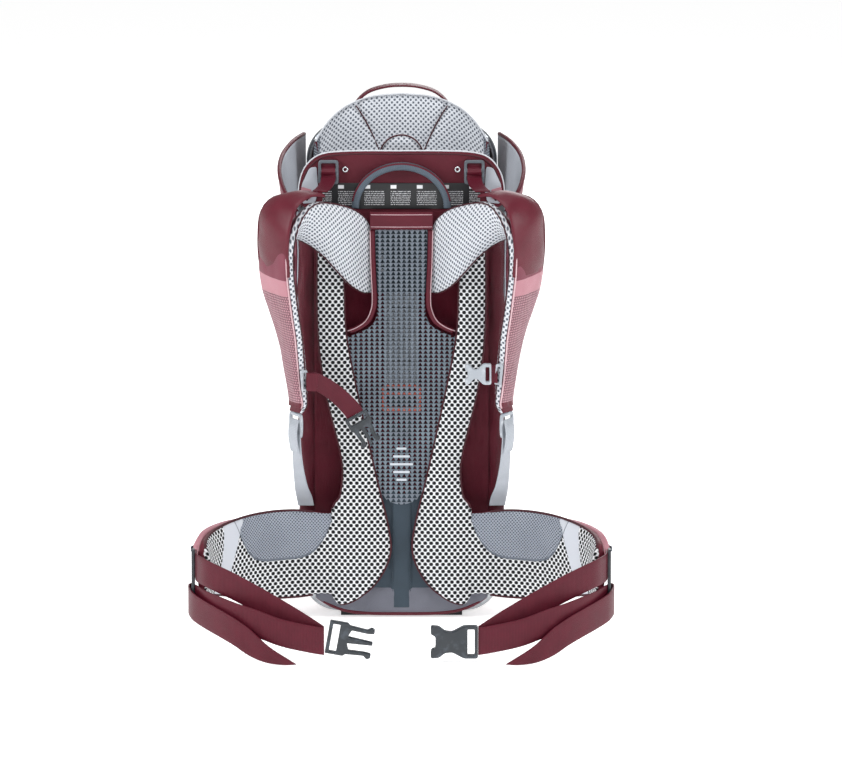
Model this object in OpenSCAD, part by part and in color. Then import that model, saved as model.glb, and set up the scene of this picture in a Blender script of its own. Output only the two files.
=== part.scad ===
// Framed child carrier backpack: aluminium frame and folding kickstand, sliding shoulder harness,
// padded back with mesh, hip belt, and a cockpit with seat, harness, headrest and side wings.
// X runs across the back, Y from the wearer (-Y) to the child (+Y), Z up. The floor is Z = 0,
// and the main frame lies in the plane Y = frame_y.

/* [Frame] */
// Outside diameter of the main frame tube
tube_d = 16; // [14:1:18]
// Wall of every aluminium tube
tube_wall = 1.4; // [1:0.1:2]
// Distance between the axes of the two side tubes
frame_w = 256; // [240:2:276]
// Height of the top bar's axis
frame_h = 604; // [590:2:616]
// Bend radius at the frame's top corners
frame_top_r = 55; // [40:5:70]
// Bend radius at the frame's bottom corners
frame_base_r = 40; // [30:5:50]

/* [Kickstand] */
// How much longer the kickstand is than the cockpit is deep
kick_over = 22; // [20:1:30]
// Outside diameter of the kickstand tube
kick_d = 14; // [12:1:14]
// Bend radius of the kickstand's corners
kick_r = 45; // [30:5:60]
// Height of the pivot
pivot_z = 106; // [102:1:110]
// Diameter of the pivot pin
pin_d = 8; // [6:1:8]

/* [Cockpit] */
// Outside diameter of the cockpit hoop tube
hoop_d = 12; // [10:1:12]
// Distance from the frame to the hoop's upright legs
cockpit_depth = 265; // [255:1:266]
// Height of the hoop's top bar
hoop_h = 640; // [620:2:644]
// Width of the child's back panel
rear_w = 232; // [200:2:236]
// Width of the seat sling
seat_w = 92; // [70:2:110]
// Height of the seat sling's lowest point
seat_z = 292; // [275:1:300]

/* [Back system] */
// Thickness of the padded back stripes
pad_t = 24; // [18:1:24]
// Thickness of the back sheet
plate_t = 3; // [2:0.5:4]
// Width of the length-adjustment strap
rail_w = 34; // [24:1:40]
// Width of the harness yoke
yoke_w = 78; // [70:1:80]

/* [Straps] */
// Thickness of the shoulder strap's foam
strap_t = 18; // [13:1:18]
// Width of the hip belt webbing
belt_web = 38; // [30:1:38]
// Width of the chest webbing
chest_web = 25; // [20:1:25]
// Thickness of every webbing
web_t = 2; // [1.2:0.1:2.4]
// Radius of the hip wings in plan
wing_r = 160; // [150:1:168]
// Thickness of the hip wing's foam
wing_t = 16; // [12:1:16]
// Depth of the hip pockets
pocket_t = 22; // [14:1:24]

/* [Hidden] */
$fn = 48;
gap = 0.4;           // clearance between soft pieces and what carries them
run = 0.05;          // radial clearance of a running fit
frame_y = 4;
half = frame_w / 2;
foot_axis = 12;      // height of the lower bar's axis
bar_axis = 11;       // height of the kickstand bar's axis
block_x0 = half - 12;
block_x1 = half + tube_d / 2 + 5;
block_z0 = pivot_z - 22;
block_z1 = pivot_z + 22;
pivot_y = tube_d / 2 + 10.5;
hub_w = kick_d + 0.5;
arm_x = block_x1 + 0.5 + hub_w / 2;
kick_reach = cockpit_depth + kick_over;
kick_angle = asin((pivot_z - bar_axis) / kick_reach);
hoop_z = pivot_z + 12;
hoop_r = 30;
plate_front = -(tube_d / 2 + 1 + plate_t);   // front face of the back sheet
pad_front = plate_front - gap - pad_t;
mesh_y = pad_front + 9;
root_x = 104;        // X of the hip wing's flex line
root_y = plate_front - gap - pad_t / 2;
wing_c = [root_x + 6, root_y - wing_r];       // centre of the wing's arc in plan
tip_x = wing_c[0] + wing_r + wing_t / 2 + gap + web_t / 2;
belt_z = 150;        // top of the lumbar pads

// ---------- helpers ----------

// Puts children at a point given across, behind the frame plane, and up.
module at(x, d, z) { translate([x, frame_y + d, z]) children(); }

// Draws children on the right, and mirrored on the left.
module both() {
    children();
    mirror([1, 0, 0]) children();
}

// Draws children on one side: 1 is right (+X), -1 is left.
module on_side(side) {
    if (side > 0) children();
    else mirror([1, 0, 0]) children();
}

function unit(v) = v / norm(v);

// A Catmull-Rom curve through the points, with k steps between each two.
function spline(p, k) = let (n = len(p)) [
    for (i = [0 : n - 2]) let (
        a = p[max(i - 1, 0)], b = p[i], c = p[i + 1], e = p[min(i + 2, n - 1)]
    ) for (s = [0 : k - 1]) let (t = s / k)
        0.5 * (2 * b + (c - a) * t + (2 * a - 5 * b + 4 * c - e) * t * t
            + (3 * b - a - 3 * c + e) * t * t * t),
    p[n - 1]
];

function tangent(p, i) = p[min(i + 1, len(p) - 1)] - p[max(i - 1, 0)];

// The unit normal of a ribbon between two rails, at station i.
function face_normal(a, b, i) = unit(cross(tangent(a, i) + tangent(b, i), b[i] - a[i]));

// Ring i of a ribbon: thickness t, moved off the rails' surface by off, edges drawn in by inset.
function ring(a, b, i, t, off, inset) = let (
    u = face_normal(a, b, i), w = unit(b[i] - a[i]) * inset, m = u * off, h = u * t / 2
) [a[i] + w + m + h, b[i] - w + m + h, b[i] - w + m - h, a[i] + w + m - h];

// A strap of thickness t (one number, or one for each station) between rails a and b.
module ribbon(a, b, t, off = 0, inset = 0) {
    n = len(a);
    points = [for (i = [0 : n - 1]) each
        ring(a, b, i, is_list(t) ? t[i] : t, off, inset)];
    sides = [for (i = [0 : n - 2], j = [0 : 3]) let (
        p = 4 * i + j, q = 4 * i + (j + 1) % 4
    ) each [[p, q, q + 4], [p, q + 4, p + 4]]];
    last = 4 * (n - 1);
    translate([0, frame_y, 0]) polyhedron(
        points = points,
        faces = concat(sides, [[3, 2, 1], [3, 1, 0]],
            [[last, last + 1, last + 2], [last, last + 2, last + 3]])
    );
}

// A webbing along a centreline: c holds points, w the width's direction at each.
module webbing(c, w, width, t = web_t, k = 4) {
    cs = spline(c, k);
    ws = spline(w, k);
    ribbon([for (i = [0 : len(cs) - 1]) cs[i] - unit(ws[i]) * width / 2],
        [for (i = [0 : len(cs) - 1]) cs[i] + unit(ws[i]) * width / 2], t);
}

// A straight hollow tube along +Z.
module tube(d, l) {
    linear_extrude(l) difference() {
        circle(d = d);
        circle(d = d - 2 * tube_wall);
    }
}

// A quarter bend in the XZ plane: it starts at the origin heading +Z and turns towards +X.
module bend(d, r) {
    translate([r, 0, 0]) rotate([90, 0, 0]) rotate([0, 0, 90]) rotate_extrude(angle = 90)
        translate([r, 0]) difference() {
            circle(d = d);
            circle(d = d - 2 * tube_wall);
        }
}

module rounded_plate(x, y, t, r) {
    linear_extrude(t, center = true) offset(r) square([x - 2 * r, y - 2 * r], center = true);
}

// ---------- frame and kickstand ----------

module upper_frame_tube() color("silver") both() {
    z0 = pivot_z + 3;
    at(half, 0, z0) tube(tube_d, frame_h - frame_top_r - z0);
    at(half, 0, frame_h - frame_top_r) mirror([1, 0, 0]) bend(tube_d, frame_top_r);
    at(0, 0, frame_h) rotate([0, 90, 0]) tube(tube_d, half - frame_top_r);
}

module lower_frame_tube() color("silver") both() {
    z1 = pivot_z - 3;
    z0 = foot_axis + frame_base_r;
    at(half, 0, z0) tube(tube_d, z1 - z0);
    at(half, 0, z0) mirror([1, 0, 0]) mirror([0, 0, 1]) bend(tube_d, frame_base_r);
    at(0, 0, foot_axis) rotate([0, 90, 0]) tube(tube_d, half - frame_base_r);
}

// Moulded blocks that join the two tubes and carry the hoop and the kickstand's pin.
module frame_joints() color("dimgray") both() difference() {
    at(block_x0, -tube_d / 2 - 1, block_z0)
        cube([block_x1 - block_x0, pivot_y + 10 + tube_d / 2, block_z1 - block_z0]);
    at(half, 0, pivot_z + 3) cylinder(d = tube_d, h = 40);
    at(half, 0, pivot_z - 43) cylinder(d = tube_d, h = 40);
    at(half - 6, pivot_y, pivot_z) rotate([0, 90, 0]) cylinder(d = pin_d, h = 40);
    at(half, tube_d / 2 + 3, hoop_z) rotate([-90, 0, 0]) cylinder(d = hoop_d + 0.2, h = 40);
}

module frame_feet() color("black") both() at(half - 64, 0, foot_axis)
    rotate([0, 90, 0]) difference() {
        union() {
            cylinder(d = tube_d + 7, h = 40, center = true);
            translate([foot_axis / 2, 0, 0]) cube([foot_axis, 26, 40], center = true);
        }
        cylinder(d = tube_d + 0.2, h = 60, center = true);
    }

module pivot_pins() color("gray") both() at(half - 6, pivot_y, pivot_z) rotate([0, 90, 0]) {
    cylinder(d = pin_d, h = arm_x + hub_w / 2 + 0.5 - half + 6);
    translate([0, 0, arm_x + hub_w / 2 + 0.5 - half + 6]) cylinder(d = pin_d + 8, h = 3);
}

// The kickstand is drawn flat, arms along +Y from the pivot, then tipped down to the floor.
module kick_pose() at(0, pivot_y, pivot_z) rotate([-kick_angle, 0, 0]) children();

module kickstand_tube() color("silver") kick_pose() both() {
    translate([arm_x, 15, 0]) rotate([-90, 0, 0]) tube(kick_d, kick_reach - kick_r - 15);
    translate([arm_x, kick_reach - kick_r, 0]) rotate([-90, 0, 0]) mirror([1, 0, 0])
        bend(kick_d, kick_r);
    translate([0, kick_reach, 0]) rotate([0, 90, 0]) tube(kick_d, arm_x - kick_r);
}

module kickstand_hubs() color("dimgray") kick_pose() both() translate([arm_x, 0, 0]) difference() {
    union() {
        rotate([0, 90, 0]) cylinder(r = 14.5, h = hub_w, center = true);
        rotate([-90, 0, 0]) cylinder(d = kick_d - 2 * tube_wall - 0.2, h = 36);
    }
    rotate([0, 90, 0]) cylinder(d = pin_d + 2 * run, h = hub_w + 2, center = true);
}

module kickstand_feet() color("black") both()
    at(70, pivot_y + kick_reach * cos(kick_angle), bar_axis)
    rotate([0, 90, 0]) difference() {
        union() {
            cylinder(d = kick_d + 6, h = 44, center = true);
            translate([bar_axis / 2, 0, 0]) cube([bar_axis, 22, 44], center = true);
        }
        cylinder(d = kick_d + 0.2, h = 60, center = true);
    }

// ---------- back system ----------

module frame_sleeves() color("maroon") both() at(half, 0, block_z1 + gap)
    linear_extrude(frame_h - frame_top_r - block_z1 - 8) difference() {
        circle(d = tube_d + 9);
        circle(d = tube_d + 2 * gap);
    }

// Outline of one padded stripe and its lumbar pad, on the right side.
function pad_edge() = concat(
    spline([[92, 562], [112, 552], [116, 500], [115, 400], [105, 320], [86, 240], [82, 206],
        [86, 172], [root_x - 7, belt_z]], 4),
    [[root_x - 7, 34]],
    spline([[root_x - 9, 28], [88, 19], [66, 24], [34, 50], [15, 90], [18, 132], [34, 200],
        [58, 310], [75, 400], [78, 470], [82, 540]], 4)
);

module pad_plan() polygon(pad_edge());

// Draws an XZ plan as a plate from depth y0 to y1, measured from the frame plane.
module plate(y0, y1) translate([0, frame_y + y1, 0]) rotate([90, 0, 0])
    linear_extrude(y1 - y0) children();

module back_plate() color("#5a1e2b") plate(plate_front, plate_front + plate_t)
    polygon(concat([[-112, 30], [112, 30], [114, 60], [114, 520], [104, 545]],
        [[-104, 545], [-114, 520], [-114, 60]]));

module slide_rail() color("gray") plate(plate_front - gap - 1.2, plate_front - gap)
    translate([-rail_w / 2, 250]) square([rail_w, 270]);

module mesh_plan() polygon(concat(
    spline([[35.6, 548], [34.6, 500], [32.2, 450], [37.4, 417], [59.5, 401.5], [84, 394]], 4),
    spline([[76, 330], [60, 250], [44, 196], [22, 168], [0, 160]], 4),
    spline([[-22, 168], [-44, 196], [-60, 250], [-76, 330]], 4),
    spline([[-84, 394], [-59.5, 401.5], [-37.4, 417], [-32.2, 450], [-34.6, 500],
        [-35.6, 548]], 4)));

module back_mesh() color("slategray") plate(mesh_y, mesh_y + 1.4) difference() {
    mesh_plan();
    offset(delta = gap) both_flat() pad_plan();
}

module both_flat() {
    children();
    mirror([1, 0]) children();
}

// Binding down each opening's edge, and the band across the mesh's top.
module mesh_trim() color("#6b2737") {
    rail = [[40, 546], [39, 500], [37, 450], [43, 423], [60, 409], [71, 405]];
    s = spline(rail, 4);
    both() ribbon([for (p = s) [p[0] - 1, mesh_y - 3, p[1] - 1]],
        [for (p = s) [p[0] - 1, mesh_y + 4, p[1] - 1]], 5.4);
    plate(mesh_y - 3, mesh_y + 1) translate([-42, 548.5]) square([84, 22]);
    plate(mesh_y + 1, plate_front - gap) translate([-42, 560]) square([84, 10]);
}

module back_pad(side) color("gainsboro") on_side(side) difference() {
    plate(pad_front, plate_front - gap) pad_plan();
    at(root_x, root_y - frame_y + frame_y, 0) cylinder(r = wing_t / 2 + gap, h = 400);
}

module lumbar_panel() color("#3c4a54") plate(plate_front - 12, plate_front - gap) difference() {
    polygon(concat([[-128, 14], [128, 14]], [[128, 24], [97, 30], [94, 60], [60, 150]],
        spline([[40, 184], [22, 160], [0, 152], [-22, 160], [-40, 184]], 4),
        [[-60, 150], [-94, 60], [-97, 30], [-128, 24]]));
    offset(delta = gap) both_flat() pad_plan();
}

// ---------- cockpit ----------

module front_plan() polygon(concat(
    [[-128, 572]], spline([[-141, 580], [-141, 606], [-132, 632], [-109, 650], [-60, 654], [0, 654],
        [60, 654], [109, 650], [132, 632], [141, 606], [141, 580]], 4),
    [[128, 572], [100, 548], [-100, 548]]));

module cockpit_front_panel() color("maroon")
    plate(plate_front, plate_front + plate_t) front_plan();

module label_patch() color("black") plate(plate_front - 1.4, plate_front - gap / 2)
    translate([-108, 573]) square([216, 36]);

// Webbing rings for the load lifters, sewn to the front panel.
module lifter_rings() color("darkgray") both() at(100, plate_front - 6.4, 625) rotate([90, 0, 0])
    difference() {
        rounded_plate(28, 34, 4, 5);
        translate([0, 8, 0]) cube([20, 9, 10], center = true);
        translate([0, -6, 0]) cube([20, 12, 10], center = true);
    }

module load_lifters() color("#7d3040") both() {
    webbing([[100, plate_front - 9.9, 616], [102, -42, 613], [106, -62, 611], [111, -80, 610]],
        [for (i = [0 : 3]) [1, 0.1, 0]], 20);
    at(100, plate_front - 2.2, 632) cube([19, 3.2, 20], center = true);
}

module cockpit_hoop() color("silver") both() {
    y0 = tube_d / 2 + 3;
    at(half, y0, hoop_z) rotate([-90, 0, 0]) tube(hoop_d, cockpit_depth - hoop_r - y0);
    at(half, cockpit_depth - hoop_r, hoop_z) rotate(a = -120, v = [1, 1, 1])
        bend(hoop_d, hoop_r);
    at(half, cockpit_depth, hoop_z + hoop_r) tube(hoop_d, hoop_h - 50 - hoop_z - hoop_r);
    at(half, cockpit_depth, hoop_h - 50) mirror([1, 0, 0]) bend(hoop_d, 50);
    at(0, cockpit_depth, hoop_h) rotate([0, 90, 0]) tube(hoop_d, half - 50);
}

module base_bag() color("maroon") at(-(block_x0 - gap), 0, 0) rotate([90, 0, 90])
    linear_extrude(2 * (block_x0 - gap)) offset(14)
        polygon([[28, 44], [cockpit_depth - 24, 66], [cockpit_depth - 24, 172], [28, 172]]);

// A cross panel curved in plan: its half plan is a list of [x, depth, low z, high z].
module curved_panel(stations, t) {
    s = spline(stations, 4);
    full = concat([for (i = [len(s) - 1 : -1 : 1]) [-s[i][0], s[i][1], s[i][2], s[i][3]]], s);
    ribbon([for (p = full) [p[0], p[1], p[2]]], [for (p = full) [p[0], p[1], p[3]]], t);
}

module rear_panel() color("lightgray") curved_panel([
    [0, cockpit_depth - 1, 196, 499.5], [60, cockpit_depth - 2, 196, 499.5],
    [rear_w / 2, cockpit_depth - 13, 200, 499.5]], 12);

module rear_cover() color("maroon") plate(cockpit_depth + hoop_d / 2 + gap,
    cockpit_depth + hoop_d / 2 + 4) polygon(concat([[-118, 236], [118, 236]],
    spline([[128, 250], [130, 420], [128, 590], [112, 622], [80, 632]], 4),
    spline([[-80, 632], [-112, 622], [-128, 590], [-130, 420], [-128, 250]], 4)));

module headrest() color("whitesmoke") curved_panel([
    [0, cockpit_depth - 12.5, 500, 686], [45, cockpit_depth - 15, 500, 682],
    [80, cockpit_depth - 24, 500, 669], [104, cockpit_depth - 42, 502, 650],
    [120, cockpit_depth - 64, 506, 628]], 12);

module side_wing(side) color("lightgray") on_side(side) {
    low = spline([[half + 15.6, 2, 402], [half + 14, 40, 397.5], [half + 11.5, 90, 397],
        [half + 10.5, 150, 397], [half + 10, 210, 399],
        [half + 8.8, cockpit_depth - 2, 408]], 5);
    high = spline([[half + 15.6, 2, 566], [half + 34, 40, 590], [half + 41, 90, 607],
        [half + 37, 150, 619], [half + 24, 210, 626],
        [half + 8.8, cockpit_depth - 2, 627]], 5);
    ribbon(low, high, 5);
}

module chin_pad() color("whitesmoke") plate(tube_d / 2 + gap, tube_d / 2 + 11) {
    translate([-30, 560]) square([60, 82]);
    translate([0, 642]) circle(r = 30);
}

module child_straps() color("gray") both() webbing(
    [[52, cockpit_depth - 12.8, 496], [50, cockpit_depth - 18, 480], [38, 236, 450],
        [26, 228, 426], [21, 222.5, 413.5]],
    [for (i = [0 : 4]) [1, 0, 0]], 34, 6);

module harness_buckle() color("dimgray") at(0, 222, 396) rotate([90, 0, 0]) difference() {
    rounded_plate(60, 30, 14, 6);
    translate([0, 0, 1]) cylinder(d = 20, h = 20);
}

module release_button() color("firebrick") at(0, 222, 396) rotate([90, 0, 0])
    translate([0, 0, 4.4]) cylinder(d = 20 - 2 * run, h = 5);

module crotch_strap() color("gray") webbing(
    [[0, 222, 380.6], [0, 220, 350], [0, 212, 324], [0, 206, seat_z + 11]],
    [for (i = [0 : 3]) [1, 0, 0]], 26, 5);

module seat_sling() color("dimgray") {
    front = plate_front + plate_t + gap + 1.9;
    s = [[0, front, seat_z + 112], [0, front, seat_z + 98], [0, front, seat_z + 84],
        [0, front + 6, seat_z + 62], [0, 8, seat_z + 42], [0, 27, seat_z + 22],
        [0, 60, seat_z + 7], [0, 110, seat_z], [0, 170, seat_z + 1], [0, 215, seat_z + 10],
        [0, cockpit_depth - 20, seat_z + 30], [0, cockpit_depth - 10.8, seat_z + 56],
        [0, cockpit_depth - 10.8, seat_z + 76]];
    webbing(s, [for (p = s) [1, 0, 0]], seat_w, 3, 3);
}

module stirrup(side) color("gray") on_side(side) {
    webbing([[140.4, 70, 396.2], [140.4, 70, 330], [140.4, 70, 262]], [for (i = [0 : 2]) [0, 1, 0]], 20, 3);
    at(140.4, 70, 290) cube([7, 28, 24], center = true);
    at(140.4, 70, 232) rotate([0, 90, 0]) difference() {
        rounded_plate(62, 76, 7, 14);
        rounded_plate(44, 56, 12, 8);
    }
}

module base_zip_slider() color("gray") at(-84, cockpit_depth - 10 + gap, 130) {
    translate([-5, 0, -4]) cube([10, 5, 8]);
    translate([-3, 1, -24]) cube([6, 2, 21]);
}

// ---------- handles ----------

module front_grab_handle() color("slategray") {
    n = 20;
    c = [for (i = [0 : n]) let (a = 180 - 180 * i / n)
        [63 * cos(a), plate_front - 10.4, 577 + 57 * sin(a)]];
    ribbon([for (i = [0 : n]) c[i] - [0, 8.5, 0]], [for (i = [0 : n]) c[i] + [0, 8.5, 0]], 11);
}

module top_handle() color("maroon") {
    y = cockpit_depth + 7;
    c = spline([[-66, y, hoop_h + 7], [-58, y, 664], [-34, y, 686], [0, y, 695], [34, y, 686],
        [58, y, 664], [66, y, hoop_h + 7]], 4);
    ribbon([for (p = c) p - [0, 11, 0]], [for (p = c) p + [0, 11, 0]], 3);
}

// ---------- sliding harness ----------

module yoke_plate() color("dimgray") plate(plate_front - 7, plate_front - 3.4)
    translate([-yoke_w / 2, 456]) square([yoke_w, 88]);

module slide_strap() color("lightgray") plate(plate_front - 6, plate_front - 3.6)
    translate([-23, 330]) square([46, 126 - gap]);

module slide_handle() color("tomato") at(0, plate_front - 5, 308) rotate([90, 0, 0])
    difference() {
        rounded_plate(54, 40, 6, 7);
        translate([0, -3, 0]) cube([40, 16, 12], center = true);
        translate([0, 15, 0]) cube([46.8, 14, 2.8], center = true);
    }

// Edges of the right shoulder strap, from the yoke over the shoulder to its lower end:
// the one nearer the neck, then the one nearer the arm.
strap_in = [[yoke_w / 2 + 2, -17.5, 545], [50.4, -26, 562], [67.6, -43, 578], [92, -66, 590],
    [113, -92, 597], [128, -112, 592], [142, -126, 571], [149, -130, 540], [149.5, -127, 507],
    [146.5, -122, 475], [142.8, -119, 445], [138.5, -116, 415], [136.6, -111.2, 390],
    [134.5, -105.8, 362], [132.4, -100.6, 335], [131, -97, 316], [137, -88, 302]];
strap_out = [[yoke_w / 2 + 2, -17.5, 457], [53.8, -27, 459], [71, -42, 472], [91, -56, 496],
    [110, -64, 520], [131, -68, 538], [154, -69, 547], [177, -65, 540], [188, -61, 512],
    [185, -57, 476], [176, -56, 447], [166, -56, 418], [159, -56.5, 391], [153.5, -58, 361],
    [149.5, -60, 333], [148.5, -62, 314], [152, -63, 301]];
strap_thick = [for (k = [0.35, 0.5, 0.8, 1, 1, 1, 1, 1, 1, 1, 1, 1, 0.97, 0.93, 0.85, 0.65, 0.45])
    k * strap_t];

module shoulder_strap(side) color("whitesmoke") on_side(side)
    ribbon(spline(strap_in, 3), spline(strap_out, 3), spline(strap_thick, 3));

function tail(list, from) = [for (i = [from : len(list) - 1]) list[i]];

module strap_covers() color("#9a5560") both() {
    a = tail(spline(strap_in, 3), 25);
    b = tail(spline(strap_out, 3), 25);
    t = tail(spline(strap_thick, 3), 25);
    n = len(a);
    ribbon([for (i = [0 : n - 1]) a[i] + face_normal(a, b, i) * (t[i] / 2 + gap + 1.4)],
        [for (i = [0 : n - 1]) b[i] + face_normal(a, b, i) * (t[i] / 2 + gap + 1.4)], 2.4, 0, 3);
}

// A ladder-lock for webbing of width w, drawn in its own XZ plane.
module ladder_lock(w, l) rotate([90, 0, 0]) difference() {
    rounded_plate(w + 8, l, 5, 3);
    translate([0, l / 4, 0]) cube([w + 1, l / 4, 10], center = true);
    translate([0, -l / 5, 0]) cube([w + 1, l / 4, 10], center = true);
}

module ladder_locks() color("whitesmoke") both() at(144.5, -75, 283.4)
    rotate([0, 0, 60]) ladder_lock(chest_web, 34);

module lower_webbings() color("lightgray") both() webbing(
    [[144.2, -74.5, 265.4], [142.5, -60, 228], [half + 10.5, -36, 190], [half + 6, -18, 168],
        [half + 4, -13.9, 156]],
    [[0.5, 0.87, 0], [0.6, 0.8, 0], [0.8, 0.6, 0], [1, 0.15, 0], [1, 0, 0]], 24);

// ---------- chest strap ----------

module release_male(w, l, t) {
    difference() {
        translate([-l * 0.3, 0, 0]) cube([l * 0.4, w + 8, t], center = true);
        translate([-l * 0.36, 0, 0]) cube([l * 0.14, w + 1, t + 2], center = true);
    }
    translate([l * 0.2, 0, 0]) cube([l * 0.62, w * 0.14, t * 0.5], center = true);
    for (s = [-1, 1]) translate([-l * 0.12, s * (w / 2 + 1.5), 0]) {
        rotate([0, 0, s * 4]) translate([0, -1.5, -t / 2]) cube([l * 0.5, 3, t]);
        translate([l * 0.47, s * 1.6, 0]) cylinder(d = 8, h = t, center = true);
    }
}

module release_female(w, l, t) difference() {
    union() {
        cube([l, w + 2, t], center = true);
        translate([-l * 0.38, 0, 0]) cube([l * 0.24, w + 10, t], center = true);
        translate([l * 0.4, 0, 0]) cube([l * 0.2, w + 10, t], center = true);
    }
    translate([l * 0.26, 0, 0]) cube([l * 0.6, w * 0.74, t * 0.56], center = true);
    translate([-l * 0.34, 0, 0]) cube([l * 0.12, w * 0.92, t + 2], center = true);
}

chest_z = 352;       // height of the left slider
chest_up = 9;        // how much higher the right one sits
rail_dir = unit(strap_in[11] - strap_in[15]);

// Slider that rides on the strap's front edge, at height z.
module edge_slider(z) {
    k = (z - strap_in[15][2]) / rail_dir[2];
    p = strap_in[15] + k * rail_dir - [1.1, 2.74, 0];
    at(p[0], p[1], p[2]) rotate([8.4, 8.1, -22.6]) cube([8, 4, 30], center = true);
}

module chest_strap_left() color("maroon") on_side(-1) {
    webbing([[127.6, -107.1, chest_z - 1.5], [114.5, -106.5, chest_z - 2.5],
        [91.8, -90, chest_z - 20.5], [72, -74, chest_z - 43], [63.7, -66, chest_z - 56]],
        [[0, 0, 1], [-0.1, 0, 1], [-0.4, 0, 0.9], [-0.7, 0, 0.7], [-0.875, 0, 0.485]], chest_web);
    edge_slider(chest_z);
}

module chest_buckle_male() color("dimgray") at(-52, -66, chest_z - 77) rotate([0, 61, 0])
    rotate([90, 0, 0]) release_male(chest_web, 46, 8);

module chest_strap_right() color("maroon") {
    webbing([[127.6, -107.1, chest_z + chest_up], [125.5, -106.9, chest_z + chest_up],
        [123.9, -106.7, chest_z + chest_up]], [for (i = [0 : 2]) [0, 0, 1]], chest_web);
    edge_slider(chest_z + chest_up);
}

module chest_buckle_female() color("gainsboro") at(105, -106.5, chest_z + chest_up)
    rotate([90, 0, 180]) release_female(chest_web, 36, 9);

// ---------- hip belt ----------

function on_arc(r, a) = [wing_c[0] + r * sin(a), wing_c[1] + r * cos(a)];

module hip_wing(side) color("gainsboro") on_side(side) {
    s = spline([[0, 34, belt_z - 2], [15, 30, belt_z + 3], [35, 34, belt_z + 3],
        [60, 50, belt_z - 2], [85, 68, belt_z - 8], [92, 78, belt_z - 16]], 4);
    ribbon([for (p = s) concat(on_arc(wing_r, p[0]), [p[1]])],
        [for (p = s) concat(on_arc(wing_r, p[0]), [p[2]])], wing_t);
    at(root_x, root_y, 34) cylinder(d = wing_t, h = belt_z - 36);
    at(root_x, root_y - wing_t / 2, 34) cube([6.4, wing_t, belt_z - 36]);
}

pocket_mid = wing_r + wing_t / 2 + gap + pocket_t / 2;

module hip_pocket(side) color("maroon") on_side(side) {
    s = spline([[20, 70, belt_z - 22], [26, 58, belt_z - 9], [45, 56, belt_z - 5],
        [64, 64, belt_z - 10], [70, 78, belt_z - 24]], 4);
    ribbon([for (p = s) concat(on_arc(pocket_mid, p[0]), [p[1]])],
        [for (p = s) concat(on_arc(pocket_mid, p[0]), [p[2]])], pocket_t);
}

module hip_zip(side) color("gray") on_side(side) {
    r = pocket_mid + pocket_t / 2 + gap;
    p = on_arc(r, 62);
    at(p[0], p[1], belt_z - 34) rotate([0, 0, -62]) {
        translate([-5, 0, -4]) cube([10, 5, 8]);
        translate([-3, 1, -20]) cube([6, 2, 17]);
    }
}

// The belt's webbing: from the wing's tip to the buckle, back to a ring at the tip, and its tail.
module hip_strap(side) color("maroon") on_side(side) {
    webbing([[tip_x + 0.2, -170, 110], [tip_x + 0.2, -192, 111], [tip_x - 5, -211, 111],
        [tip_x - 20, -232, 108], [222, -255, 95], [178, -271, 74], [134, -279, 49],
        [104.4, -282.2, 30]], [for (i = [0 : 7]) [0, 0, 1]], belt_web);
    webbing([[104.4, -286.4, 29], [124, -289.5, 33], [162, -291, 42], [198, -284, 54],
        [222, -272, 59], [248, -250, 64], [266, -226, 66], [tip_x - 4, -206, 67],
        [tip_x + 2.5, -188, 66], [tip_x + 4.5, -177, 65], [tip_x + 7.5, -172, 64],
        [tip_x + 10.5, -177, 63], [tip_x + 9, -192, 61.5], [tip_x + 2, -212, 58],
        [264, -238, 53], [244, -261, 47], [226, -277, 40], [208, -288, 30], [190, -297, 21],
        [172, -303, 15], [158, -307, 12]],
        concat([for (i = [0 : 17]) [0, 0, 1]], [[0.3, 0.1, 0.95], [0.65, 0.1, 0.75],
            [0.85, 0.1, 0.5]]), belt_web);
    at(tip_x + 4.2, -188, 110) cube([5, 12, belt_web + 10], center = true);
}

module hip_buckle_male() color("dimgray") at(-69.2, -284, 30.4) rotate([0, 10, 0])
    rotate([90, 0, 0]) release_male(belt_web, 62, 10);

module hip_buckle_female() color("darkslategray") at(72, -284, 28)
    rotate([90, 0, 180]) release_female(belt_web, 64, 13);

// ---------- output ----------

upper_frame_tube();
lower_frame_tube();
frame_joints();
frame_feet();
pivot_pins();
frame_sleeves();
back_plate();
slide_rail();
back_mesh();
mesh_trim();
back_pad(-1);  // back_pad_left
back_pad(1);  // back_pad_right
lumbar_panel();
cockpit_front_panel();
label_patch();
lifter_rings();
load_lifters();
lower_webbings();
cockpit_hoop();
base_bag();
rear_panel();
rear_cover();
headrest();
side_wing(-1);  // side_wing_left
side_wing(1);  // side_wing_right
chin_pad();
child_straps();
harness_buckle();
crotch_strap();
release_button();
kickstand_tube();
kickstand_hubs();
kickstand_feet();
yoke_plate();
slide_strap();
slide_handle();
shoulder_strap(-1);  // shoulder_strap_left
shoulder_strap(1);  // shoulder_strap_right
strap_covers();
ladder_locks();
chest_strap_left();
chest_buckle_male();
chest_strap_right();
chest_buckle_female();
hip_wing(-1);  // hip_wing_left
hip_pocket(-1);  // hip_pocket_left
hip_strap(-1);  // hip_strap_left
hip_buckle_male();
hip_wing(1);  // hip_wing_right
hip_pocket(1);  // hip_pocket_right
hip_strap(1);  // hip_strap_right
hip_buckle_female();
hip_zip(-1);  // hip_zip_left
hip_zip(1);  // hip_zip_right
base_zip_slider();
seat_sling();
stirrup(-1);  // stirrup_left
stirrup(1);  // stirrup_right
front_grab_handle();
top_handle();
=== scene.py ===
import bpy, bmesh, math
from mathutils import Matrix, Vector, noise


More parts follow.
